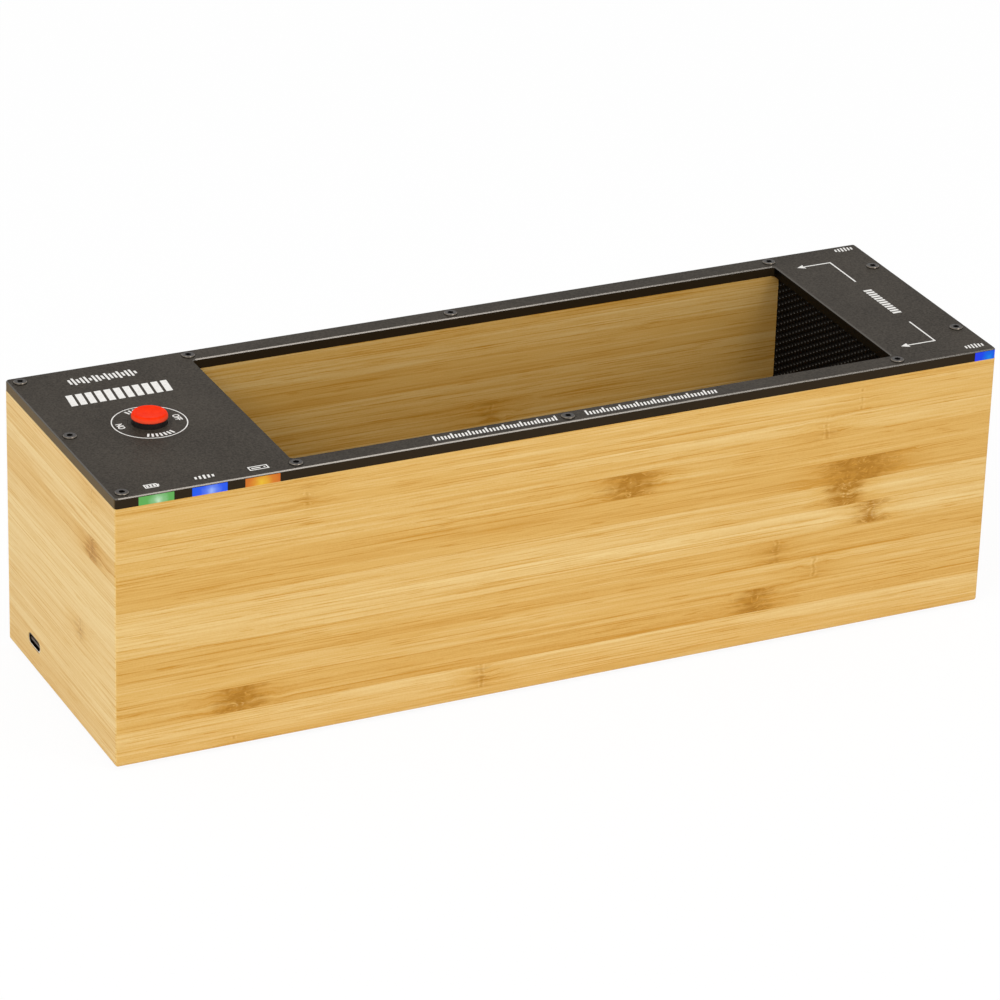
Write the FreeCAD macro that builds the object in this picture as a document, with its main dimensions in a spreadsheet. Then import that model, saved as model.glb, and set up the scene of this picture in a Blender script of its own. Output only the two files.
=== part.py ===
import FreeCAD, Part
import math
import os
from types import SimpleNamespace

import Sketcher

# A desk-top acoustic safe for a mobile phone: a mitred bamboo box under a black plate, with a speaker
# behind a perforated grille at each end of an open bay. Millimetres. X runs along the box, -Y is the
# front, +Z is up, and the origin is on the desk under the middle of the box.

doc = FreeCAD.newDocument("phone_safe")
Vector = FreeCAD.Vector

# ---------------------------------------------------------------- driving sizes
SIZES = [
    ("case_length", 268.0, "bamboo box, end to end"),
    ("case_width", 83.0, "bamboo box, front to back"),
    ("case_height", 77.0, "bamboo box without plate or feet"),
    ("wall", 6.5, "bamboo walls, and the plate's rails above them"),
    ("edge_round", 0.8, "rounding of the box's outer edges"),
    ("bottom_thick", 3.0, "bottom panel"),
    ("foot_height", 1.2, "stick-on foot"),
    ("foot_width", 10.0, "stick-on foot, diameter"),
    ("foot_inset", 14.0, "foot centre from the box's sides"),
    ("plate_thick", 3.0, "top plate"),
    ("plate_corner", 1.0, "radius of the plate's corners"),
    ("plate_bevel", 0.3, "bright bevel along the plate's top edges"),
    ("opening_corner", 1.0, "radius of the opening's corners"),
    ("controls_length", 53.1, "plate from its left end to the opening"),
    ("sign_length", 30.5, "plate from the opening to its right end"),
    ("side_screw_inset", 17.2, "right-hand screws from the plate's front and back edges"),
    ("screw_shank", 2.3, "plate screw shank, diameter"),
    ("screw_head", 4.0, "raised countersunk head, diameter"),
    ("screw_proud", 0.4, "height of the head's dome above the plate"),
    ("screw_length", 11.0, "plate screw under the plate's top"),
    ("screw_point", 3.0, "pointed end of the plate screw"),
    ("fit_gap", 0.1, "clearance between pieces that fit each other"),
    ("window_width", 10.0, "light window in the plate's front edge"),
    ("window_height", 2.4, "light window"),
    ("window_reach", 9.7, "light guide from the plate's edge inwards"),
    ("window_first", 11.8, "middle of the first window from the left end"),
    ("window_last", 10.9, "middle of the last window from the opening's left edge"),
    ("corner_window", 6.8, "corner window, width on each side"),
    ("corner_height", 2.5, "corner window, height"),
    ("corner_neck", 4.0, "corner window, start of its inner arm"),
    ("led_length", 1.6, "light-emitting diode, along its beam"),
    ("led_width", 3.0, "light-emitting diode, across its beam"),
    ("led_height", 1.2, "light-emitting diode, height"),
    ("led_board_thick", 1.0, "boards that carry the diodes"),
    ("led_board_width", 9.0, "boards that carry the diodes"),
    ("button_x", 26.5, "button axis from the left end"),
    ("button_y", 42.0, "button axis from the front"),
    ("cap_width", 10.1, "red cap, diameter"),
    ("cap_top", 3.15, "red cap above the plate"),
    ("cap_skirt", 1.55, "red cap, height of its side"),
    ("cap_edge", 0.4, "rounding of the cap's rim"),
    ("cap_dish", 0.2, "depth of the hollow in the cap's top"),
    ("neck_step", 0.25, "black neck behind the cap's side"),
    ("neck_height", 3.5, "black neck under the cap"),
    ("neck_gap", 0.15, "running clearance round the neck"),
    ("button_travel", 1.5, "stroke of the button"),
    ("collar_wall", 1.05, "wall of the collar round the neck"),
    ("barrel_length", 8.0, "collar below the plate's top"),
    ("plunger_width", 7.2, "plunger, diameter"),
    ("plunger_gap", 0.2, "running clearance round the plunger"),
    ("shoulder_width", 8.6, "shoulder that stops the plunger at the barrel's end"),
    ("shoulder_height", 1.4, "shoulder of the plunger"),
    ("switch_side", 14.0, "switch body, square side"),
    ("switch_height", 8.5, "switch body, height"),
    ("switch_base", 1.5, "switch body, thickness of its floor"),
    ("spring_width", 6.4, "return spring, outer diameter"),
    ("spring_wire", 0.5, "return spring, wire"),
    ("spring_turns", 4.0, "return spring, turns"),
    ("nut_flats", 16.0, "hexagonal nut across its flats"),
    ("nut_height", 2.5, "hexagonal nut"),
    ("lug_width", 2.0, "solder lug"),
    ("lug_thick", 0.5, "solder lug"),
    ("lug_length", 3.5, "solder lug"),
    ("lug_spread", 6.0, "distance between the solder lugs"),
    ("pad_thick", 2.0, "foam pad on the bay's floor"),
    ("pad_gap", 0.3, "clearance round the foam pad"),
    ("floor_thick", 3.0, "floor board of the bay"),
    ("batten_width", 5.0, "battens under the floor board"),
    ("batten_height", 6.5, "battens under the floor board, which leave room for the battery"),
    ("grille_setback", 1.8, "grille behind the edge of the plate's opening"),
    ("grille_thick", 0.8, "perforated sheet"),
    ("grille_pitch", 6.3, "distance between neighbouring holes"),
    ("grille_hole", 4.6, "hole across its corners"),
    ("grille_margin", 1.5, "least solid border of the perforated sheet"),
    ("baffle_thick", 3.0, "board that carries a speaker"),
    ("groove_depth", 2.0, "grooves in the walls that hold the baffles"),
    ("speaker_side", 50.0, "speaker flange, square side"),
    ("speaker_corner", 6.0, "speaker flange, corner radius"),
    ("flange_thick", 1.0, "speaker flange"),
    ("surround_inset", 3.0, "speaker surround from the flange's sides"),
    ("basket_depth", 8.0, "basket from the flange's front to its back ring"),
    ("basket_back", 30.0, "back ring of the basket, diameter"),
    ("basket_wall", 0.9, "pressed steel of the basket"),
    ("cone_thick", 0.5, "paper cone and surround"),
    ("roll_width", 3.6, "half roll of the surround"),
    ("roll_height", 1.3, "half roll of the surround"),
    ("coil_width", 13.0, "neck of the cone, diameter"),
    ("cap_rise", 2.6, "dust cap, height"),
    ("magnet_width", 28.0, "ferrite ring, diameter"),
    ("magnet_bore", 15.0, "ferrite ring, hole"),
    ("magnet_height", 3.5, "ferrite ring"),
    ("yoke_thick", 1.2, "yoke plate behind the magnet"),
    ("pole_width", 11.6, "pole of the yoke, diameter"),
    ("speaker_hole_inset", 4.5, "speaker screws from the flange's sides"),
    ("speaker_screw", 2.6, "speaker screw shank, diameter"),
    ("speaker_screw_head", 5.0, "speaker screw head, diameter"),
    ("speaker_screw_rise", 1.4, "speaker screw head, height"),
    ("speaker_screw_bite", 2.5, "speaker screw in the baffle"),
    ("board_thick", 1.6, "control board"),
    ("board_gap", 1.0, "control board from the end wall"),
    ("board_baffle_gap", 7.0, "control board from the left baffle"),
    ("board_front_gap", 5.0, "control board from the front wall"),
    ("board_back_gap", 3.0, "control board from the back wall"),
    ("standoff_height", 2.0, "spacers under the control board"),
    ("standoff_width", 5.0, "spacers, diameter"),
    ("board_hole_inset", 4.0, "board screws from the board's edges"),
    ("board_screw", 2.0, "board screw shank, diameter"),
    ("board_screw_head", 3.8, "board screw head, diameter"),
    ("board_screw_rise", 1.3, "board screw head, height"),
    ("board_screw_bite", 2.0, "board screw in the bottom panel"),
    ("usb_from_back", 20.6, "charging socket from the back of the box"),
    ("usb_width", 8.94, "charging socket shell"),
    ("usb_height", 3.26, "charging socket shell"),
    ("usb_depth", 7.4, "charging socket shell"),
    ("usb_wall", 0.3, "charging socket sheet metal"),
    ("usb_tongue_width", 6.7, "contact tongue in the socket"),
    ("usb_tongue_thick", 0.7, "contact tongue in the socket"),
    ("usb_recess", 0.1, "socket mouth behind the wall's face"),
    ("usb_gap", 0.15, "clearance round the socket in the wall"),
    ("skin", 2.0, "wall left in front of the board's tongue"),
    ("tongue_width", 14.0, "tongue of the control board"),
    ("connector_length", 5.0, "plug sockets on the board"),
    ("connector_width", 3.4, "plug sockets on the board"),
    ("connector_height", 2.6, "plug sockets on the board"),
    ("connector_pitch", 4.6, "distance between the plug sockets"),
    ("chip_side", 9.0, "controller chip"),
    ("chip_height", 1.2, "controller and amplifier chips"),
    ("capacitor_width", 6.3, "capacitor, diameter"),
    ("capacitor_height", 7.0, "capacitor"),
    ("battery_length", 60.0, "lithium cell"),
    ("battery_width", 34.0, "lithium cell"),
    ("battery_height", 5.5, "lithium cell"),
    ("battery_spacing", 6.0, "gap between the two cells"),
    ("notch_width", 14.0, "cut in the baffles' lower edge for the leads"),
    ("notch_height", 6.0, "cut in the baffles' lower edge for the leads"),
    ("notch_from_front", 31.5, "middle of that cut from the front of the box"),
]

sheet = doc.addObject("Spreadsheet::Sheet", "Sizes")
for row, (alias, value, meaning) in enumerate(SIZES, start=1):
    sheet.set(f"A{row}", meaning)
    sheet.set(f"B{row}", str(value))
    sheet.setAlias(f"B{row}", alias)
doc.recompute()


class Dim:
    """A size with its value in mm and the expression that draws it from the sheet."""

    def __init__(self, value, text):
        self.value, self.text = value, text

    def join(self, sign, other, swap=False):
        first, second = (dim(other), self) if swap else (self, dim(other))
        values = {
            "+": first.value + second.value,
            "-": first.value - second.value,
            "*": first.value * second.value,
        }
        return Dim(values[sign], f"({first.text} {sign} {second.text})")

    def __add__(self, other):
        return self.join("+", other)

    def __radd__(self, other):
        return self.join("+", other, swap=True)

    def __sub__(self, other):
        return self.join("-", other)

    def __rsub__(self, other):
        return self.join("-", other, swap=True)

    def __mul__(self, other):
        return self.join("*", other)

    def __rmul__(self, other):
        return self.join("*", other, swap=True)

    def __truediv__(self, number):
        return Dim(self.value / number, f"({self.text} / {number})")

    def __neg__(self):
        return Dim(-self.value, f"(-1 * {self.text})")

    def __float__(self):
        return float(self.value)


def dim(size):
    return size if isinstance(size, Dim) else Dim(float(size), str(float(size)))


size = SimpleNamespace(**{alias: Dim(value, f"Sizes.{alias}") for alias, value, _ in SIZES})

# ---------------------------------------------------------------- places worked out from the sizes
left, right = -size.case_length / 2, size.case_length / 2
front, back = -size.case_width / 2, size.case_width / 2
wood_bottom = size.foot_height
wood_top = wood_bottom + size.case_height
plate_top = wood_top + size.plate_thick
inner_floor = wood_bottom + size.bottom_thick
inner_left, inner_right = left + size.wall, right - size.wall
inner_front, inner_back = front + size.wall, back - size.wall

opening_left, opening_right = left + size.controls_length, right - size.sign_length
left_grille_face = opening_left - size.grille_setback
left_baffle_face = left_grille_face - size.grille_thick
left_baffle_rear = left_baffle_face - size.baffle_thick
right_grille_face = opening_right + size.grille_setback
right_baffle_face = right_grille_face + size.grille_thick
right_baffle_rear = right_baffle_face + size.baffle_thick

floor_bottom = inner_floor + size.batten_height
floor_top = floor_bottom + size.floor_thick
pad_top = floor_top + size.pad_thick
speaker_axis = (floor_top + wood_top) / 2
rim_radius = size.speaker_side / 2 - size.surround_inset

button_x, button_y = left + size.button_x, front + size.button_y
neck_radius = size.cap_width / 2 - size.neck_step
barrel_radius = neck_radius + size.neck_gap + size.collar_wall
board_left = inner_left + size.board_gap
board_right = left_baffle_rear - size.board_baffle_gap
board_front, board_back = inner_front + size.board_front_gap, inner_back - size.board_back_gap
board_bottom = inner_floor + size.standoff_height
board_top = board_bottom + size.board_thick
usb_y = back - size.usb_from_back
usb_z = board_top + size.usb_height / 2
notch_y = front + size.notch_from_front

along_x = ((0, 1, 0), 90)
nodes = []


# ---------------------------------------------------------------- small tools
def bind(thing, **sizes):
    """Tie properties of a document object to the sheet; a double underscore stands for a dot."""
    for path, size_of in sizes.items():
        thing.setExpression(path.replace("__", "."), dim(size_of).text)


def place(thing, x=0, y=0, z=0, turn=None):
    """Put an object at (x, y, z), turned by turn = (axis, degrees)."""
    if turn:
        thing.Placement = FreeCAD.Placement(Vector(), FreeCAD.Rotation(Vector(*turn[0]), turn[1]))
    bind(thing, Placement__Base__x=x, Placement__Base__y=y, Placement__Base__z=z)
    return thing


def node(thing, name):
    """Label an object as a finished sub-part; its label names its file."""
    thing.Label = name
    nodes.append(thing)
    return thing


def block(name, low, high):
    """A box between two corners."""
    thing = doc.addObject("Part::Box", name)
    spans = [top - bottom for bottom, top in zip(map(dim, low), map(dim, high))]
    bind(thing, Length=spans[0], Width=spans[1], Height=spans[2])
    return place(thing, *low)


def rod(name, foot, radius, length, turn=None):
    """A cylinder that stands on foot, along Z unless it is turned."""
    thing = doc.addObject("Part::Cylinder", name)
    bind(thing, Radius=radius, Height=length)
    return place(thing, *foot, turn=turn)


def together(name, things):
    """Separate solids in one object."""
    thing = doc.addObject("Part::Compound", name)
    thing.Links = things
    return thing


def fused(name, things):
    thing = doc.addObject("Part::MultiFuse", name)
    thing.Shapes = things
    return thing


def cut(name, base, tools):
    thing = doc.addObject("Part::Cut", name)
    thing.Base = base
    thing.Tool = tools[0] if len(tools) == 1 else together(name + "_tools", tools)
    return thing


def body(name):
    return doc.addObject("PartDesign::Body", name)


def sketch(owner, role, offset=0):
    """A sketch on one of the body's own planes, moved along its normal."""
    plane = next(item for item in owner.Origin.OriginFeatures if item.Role == role)
    drawing = owner.newObject("Sketcher::SketchObject", owner.Name + "_sketch")
    drawing.AttachmentSupport = [(plane, "")]
    drawing.MapMode = "FlatFace"
    bind(drawing, AttachmentOffset__Base__z=offset)
    return drawing


def fix_point(drawing, geometry, point, u, v):
    """Tie one point of a sketch to the sheet."""
    for kind, where in (("DistanceX", dim(u)), ("DistanceY", dim(v))):
        number = drawing.addConstraint(Sketcher.Constraint(kind, geometry, point, float(where)))
        drawing.setExpression(f"Constraints[{number}]", where.text)


def outline(drawing, corners):
    """A closed outline of straight lines through the corners."""
    first = drawing.GeometryCount
    points = [Vector(float(dim(u)), float(dim(v)), 0) for u, v in corners]
    count = len(points)
    for number in range(count):
        drawing.addGeometry(Part.LineSegment(points[number], points[(number + 1) % count]), False)
    for number in range(count):
        following = first + (number + 1) % count
        drawing.addConstraint(Sketcher.Constraint("Coincident", first + number, 2, following, 1))
    for number, (u, v) in enumerate(corners):
        fix_point(drawing, first + number, 1, u, v)


def rectangle(drawing, low_u, low_v, high_u, high_v):
    outline(drawing, [(low_u, low_v), (high_u, low_v), (high_u, high_v), (low_u, high_v)])


def circle(drawing, u, v, radius):
    centre = Vector(float(dim(u)), float(dim(v)), 0)
    ring = Part.Circle(centre, Vector(0, 0, 1), float(dim(radius)))
    number = drawing.addGeometry(ring, False)
    fix_point(drawing, number, 3, u, v)
    number = drawing.addConstraint(Sketcher.Constraint("Radius", number, float(dim(radius))))
    drawing.setExpression(f"Constraints[{number}]", dim(radius).text)


def feature(owner, kind, profile, **sizes):
    thing = owner.newObject("PartDesign::" + kind, f"{owner.Name}_{kind.lower()}")
    thing.Profile = profile
    bind(thing, **sizes)
    profile.Visibility = False
    return thing


def pad(owner, profile, length):
    return feature(owner, "Pad", profile, Length=length)


def pocket(owner, profile, length, upwards=False):
    """Cut a profile into the body, and make sure that it removes something."""
    doc.recompute()
    before = owner.Shape.Volume
    thing = feature(owner, "Pocket", profile, Length=length)
    thing.Reversed = upwards
    doc.recompute()
    if not owner.Shape.Volume < before - 1e-6:
        raise RuntimeError(f"{thing.Name} cuts nothing")
    return thing


def turned(name, corners):
    """A body turned about Z from a half profile of (radius, height) corners."""
    owner = body(name)
    profile = sketch(owner, "XZ_Plane")
    outline(profile, corners)
    spin = feature(owner, "Revolution", profile)
    spin.ReferenceAxis = (profile, ["V_Axis"])
    spin.Angle = 360
    return owner


def dress(owner, kind, wanted, **sizes):
    """Fillet or chamfer the edges of the body that wanted picks."""
    doc.recompute()
    base = owner.Tip
    edges = [f"Edge{number}" for number, edge in enumerate(base.Shape.Edges, start=1) if wanted(edge)]
    if not edges:
        raise RuntimeError(f"{owner.Name} has no edge to {kind.lower()}")
    thing = owner.newObject("PartDesign::" + kind, f"{owner.Name}_{kind.lower()}")
    thing.Base = (base, edges)
    bind(thing, **sizes)
    doc.recompute()
    return thing


def is_upright(edge):
    first, last = edge.Vertexes[0].Point, edge.Vertexes[-1].Point
    return abs(first.x - last.x) < 1e-6 and abs(first.y - last.y) < 1e-6 and abs(first.z - last.z) > 1e-6


def lies_at(edge, height):
    box = edge.BoundBox
    return abs(box.ZMin - float(height)) < 1e-6 and abs(box.ZMax - float(height)) < 1e-6


def is_ring(edge, radius):
    return isinstance(edge.Curve, Part.Circle) and abs(edge.Curve.Radius - float(radius)) < 1e-6


# ---------------------------------------------------------------- plate screws
def screw_places():
    """Centres of the eleven plate screws."""
    middle = size.wall / 2
    columns = [left + middle, opening_left, dim(0), opening_right]
    places = [(x, y) for x in columns for y in (front + middle, back - middle)]
    places.append((left + middle, dim(0)))
    side_y = back - size.side_screw_inset
    places += [(right - middle, side_y * side) for side in (-1, 1)]
    return places


def make_plate_screws():
    """Countersunk wood screws with a slightly domed head."""
    head, shank = size.screw_head / 2, size.screw_shank / 2
    profile = [
        (0, size.screw_proud),
        (head * 0.8, size.screw_proud),
        (head, size.screw_proud / 2),
        (head, 0),
        (shank, shank - head),
        (shank, -size.screw_length + size.screw_point),
        (0, -size.screw_length),
    ]
    screws = []
    for x, y in screw_places():
        screws.append(place(turned(f"plate_screw_{len(screws) + 1}", profile), x, y, plate_top))
    node(together("plate_screws", screws), "plate_screws")


def pilot_holes():
    """Holes in the walls that the plate screws bite into."""
    depth = size.screw_length - size.plate_thick + size.fit_gap
    radius = size.screw_shank / 2 + size.fit_gap / 2
    return [
        rod(f"pilot_hole_{number}", (x, y, wood_top - depth), radius, depth)
        for number, (x, y) in enumerate(screw_places(), start=1)
    ]


# ---------------------------------------------------------------- bamboo box
def make_case_block():
    """The outside of the box, with its edges rounded."""
    owner = body("case_block")
    profile = sketch(owner, "XY_Plane", wood_bottom)
    rectangle(profile, left, front, right, back)
    pad(owner, profile, size.case_height)
    dress(
        owner, "Fillet", lambda edge: is_upright(edge) or lies_at(edge, wood_bottom), Radius=size.edge_round
    )
    return owner


def make_panel(name, corners, case_block, tools):
    """One mitred wall: its outline in plan, raised to the box's height and trimmed to the rounded block."""
    blank = body(name + "_blank")
    profile = sketch(blank, "XY_Plane", wood_bottom)
    outline(profile, corners)
    pad(blank, profile, size.case_height)
    shaped = doc.addObject("Part::MultiCommon", name + "_shaped")
    shaped.Shapes = [blank, case_block]
    node(cut(name, shaped, tools), name)


def stadium(name, low_x, high_x, width, height):
    """A slot-shaped bar along X round the charging socket's axis."""
    radius = height / 2
    half = width / 2 - radius
    low, high = (low_x, usb_y - half, usb_z - radius), (high_x, usb_y + half, usb_z + radius)
    pieces = [block(name + "_core", low, high)]
    for side in (-1, 1):
        foot = (low_x, usb_y + half * side, usb_z)
        pieces.append(rod(f"{name}_end_{len(pieces)}", foot, radius, high_x - low_x, along_x))
    return fused(name, pieces)


def make_walls():
    case_block = make_case_block()
    pilots = pilot_holes()
    groove_starts = [left_baffle_rear - size.fit_gap / 2, right_baffle_face - size.fit_gap / 2]
    for name, outer, inner, side in (("front", front, inner_front, 1), ("back", back, inner_back, -1)):
        grooves = []
        for number, low_x in enumerate(groove_starts, start=1):
            bottom = inner - size.groove_depth * side
            low_y, high_y = (bottom, inner) if side > 0 else (inner, bottom)
            high_x = low_x + size.baffle_thick + size.fit_gap
            grooves.append(
                block(f"{name}_groove_{number}", (low_x, low_y, inner_floor), (high_x, high_y, wood_top))
            )
        corners = [(left, outer), (right, outer), (inner_right, inner), (inner_left, inner)]
        make_panel(name + "_panel", corners[::side], case_block, grooves + pilots)

    mouth = stadium(
        "usb_mouth",
        left,
        inner_left,
        size.usb_width + size.usb_gap * 2,
        size.usb_height + size.usb_gap * 2,
    )
    half = size.tongue_width / 2 + size.fit_gap
    relief = block(
        "usb_relief",
        (left + size.skin, usb_y - half, inner_floor),
        (inner_left, usb_y + half, board_top + size.usb_height + size.usb_gap * 2),
    )
    left_corners = [(left, front), (inner_left, inner_front), (inner_left, inner_back), (left, back)]
    right_corners = [(right, back), (inner_right, inner_back), (inner_right, inner_front), (right, front)]
    make_panel("left_end_panel", left_corners, case_block, [mouth, relief, *pilots])
    make_panel("right_end_panel", right_corners, case_block, pilots)


def make_base():
    """Bottom panel, battens, floor board, pad and feet."""
    low, high = (inner_left, inner_front, wood_bottom), (inner_right, inner_back, inner_floor)
    panel = block("bottom_board", low, high)
    bite = size.board_screw_bite + size.fit_gap
    radius = size.board_screw / 2 + size.fit_gap / 2
    pilots = [
        rod(f"board_pilot_{number}", (x, y, inner_floor - bite), radius, bite)
        for number, (x, y) in enumerate(board_hole_places(), start=1)
    ]
    node(cut("bottom_panel", panel, pilots), "bottom_panel")

    bay_low, bay_high = left_baffle_face, right_baffle_face
    battens = []
    for number, low_y in enumerate((inner_front, inner_back - size.batten_width), start=1):
        low, high = (bay_low, low_y, inner_floor), (bay_high, low_y + size.batten_width, floor_bottom)
        battens.append(block(f"batten_{number}", low, high))
    node(together("floor_battens", battens), "floor_battens")
    low, high = (bay_low, inner_front, floor_bottom), (bay_high, inner_back, floor_top)
    node(block("bay_floor", low, high), "bay_floor")

    gap = size.pad_gap
    pad_low = (left_grille_face + gap, inner_front + gap, floor_top)
    pad_high = (right_grille_face - gap, inner_back - gap, pad_top)
    node(block("bay_pad", pad_low, pad_high), "bay_pad")

    feet = []
    for x in (left + size.foot_inset, right - size.foot_inset):
        for y in (front + size.foot_inset, back - size.foot_inset):
            feet.append(rod(f"foot_{len(feet) + 1}", (x, y, 0), size.foot_width / 2, size.foot_height))
    node(together("feet", feet), "feet")


# ---------------------------------------------------------------- top plate and light windows
def window_centres():
    first, last = left + size.window_first, opening_left - size.window_last
    return [first, (first + last) / 2, last]


def corner_shape(side, reach, grow):
    """Plan of a corner light guide: a square at the corner with a second one further in, corner to corner.
    side is -1 in front, 1 behind."""
    edge = back * side
    wide = size.corner_window + grow
    neck = size.corner_neck - grow
    far = size.window_reach + grow

    def at(x_in, y_in):
        return (right - x_in, edge - y_in * side)

    return [
        at(dim(0), dim(0)),
        at(wide, dim(0)),
        at(wide, neck),
        at(reach, neck),
        at(reach, far),
        at(neck, far),
        at(neck, wide),
        at(dim(0), wide),
    ]


def make_plate():
    owner = body("top_plate_body")
    sheet_outline = sketch(owner, "XY_Plane", wood_top)
    rectangle(sheet_outline, left, front, right, back)
    pad(owner, sheet_outline, size.plate_thick)
    dress(owner, "Fillet", is_upright, Radius=size.plate_corner)

    opening = sketch(owner, "XY_Plane", plate_top)
    rectangle(opening, opening_left, inner_front, opening_right, inner_back)
    pocket(owner, opening, size.plate_thick)

    def in_opening(edge):
        return is_upright(edge) and abs(edge.Vertexes[0].Point.y) < float(inner_back) + 1e-6

    dress(owner, "Fillet", in_opening, Radius=size.opening_corner)
    dress(owner, "Chamfer", lambda edge: lies_at(edge, plate_top), Size=size.plate_bevel)

    hole_radius = size.screw_shank / 2 + size.fit_gap
    holes = sketch(owner, "XY_Plane", plate_top)
    for x, y in screw_places():
        circle(holes, x, y, hole_radius)
    pocket(owner, holes, size.plate_thick)
    dress(
        owner,
        "Chamfer",
        lambda edge: is_ring(edge, hole_radius) and lies_at(edge, plate_top),
        Size=size.screw_head / 2 + size.fit_gap / 2 - hole_radius,
    )
    button_hole = sketch(owner, "XY_Plane", plate_top)
    circle(button_hole, button_x, button_y, barrel_radius + size.fit_gap / 2)
    pocket(owner, button_hole, size.plate_thick)

    slots = sketch(owner, "XY_Plane", wood_top)
    half = size.window_width / 2 + size.fit_gap
    slot_end = front + size.window_reach + size.led_length + size.fit_gap * 3
    for x in window_centres():
        rectangle(slots, x - half, front, x + half, slot_end)
    pocket(owner, slots, size.window_height + size.fit_gap, upwards=True)
    corner_slots = sketch(owner, "XY_Plane", wood_top)
    for side in (-1, 1):
        reach = size.window_reach + size.led_length + size.fit_gap * 3
        outline(corner_slots, corner_shape(side, reach, size.fit_gap))
    pocket(owner, corner_slots, size.corner_height + size.fit_gap, upwards=True)
    node(owner, "top_plate")


def make_windows():
    """Light guides that show in the plate's edge."""
    half = size.window_width / 2
    for name, x in zip(("green_window", "blue_window", "amber_window"), window_centres()):
        low = (x - half, front, wood_top)
        high = (x + half, front + size.window_reach, wood_top + size.window_height)
        node(block(name, low, high), name)
    for name, side in (("front_corner_window", -1), ("rear_corner_window", 1)):
        owner = body(name + "_body")
        profile = sketch(owner, "XY_Plane", wood_top)
        outline(profile, corner_shape(side, size.window_reach, dim(0)))
        pad(owner, profile, size.corner_height)

        def at_corner(edge, side=side):
            point = edge.Vertexes[0].Point
            return is_upright(edge) and point.x > float(right) - 1e-6 and abs(point.y) > float(back) - 1e-6

        dress(owner, "Fillet", at_corner, Radius=size.plate_corner)
        node(owner, name)


def make_lights():
    """Diodes behind the windows, on two boards under the plate."""
    board_low, board_high = wood_top - size.led_board_thick, wood_top
    gap = size.fit_gap * 3
    front_low = (inner_left + gap, inner_front + gap, board_low)
    front_high = (left_baffle_rear - gap, inner_front + gap + size.led_board_width, board_high)
    node(block("front_led_board", front_low, front_high), "front_led_board")
    side_low = (inner_right - gap - size.led_board_width, inner_front + gap, board_low)
    side_high = (inner_right - gap, inner_back - gap, board_high)
    node(block("side_led_board", side_low, side_high), "side_led_board")

    half = size.led_width / 2
    start = size.window_reach + size.fit_gap
    front_leds = [
        block(
            f"front_led_{number}",
            (x - half, front + start, wood_top),
            (x + half, front + start + size.led_length, wood_top + size.led_height),
        )
        for number, x in enumerate(window_centres(), start=1)
    ]
    node(together("front_leds", front_leds), "front_leds")
    side_leds = []
    middle = (size.corner_neck + size.window_reach) / 2
    for side in (-1, 1):
        y = (back - middle) * side
        low = (right - start - size.led_length, y - half, wood_top)
        high = (right - start, y + half, wood_top + size.led_height)
        side_leds.append(block(f"side_led_{len(side_leds) + 1}", low, high))
    node(together("side_leds", side_leds), "side_leds")


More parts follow.
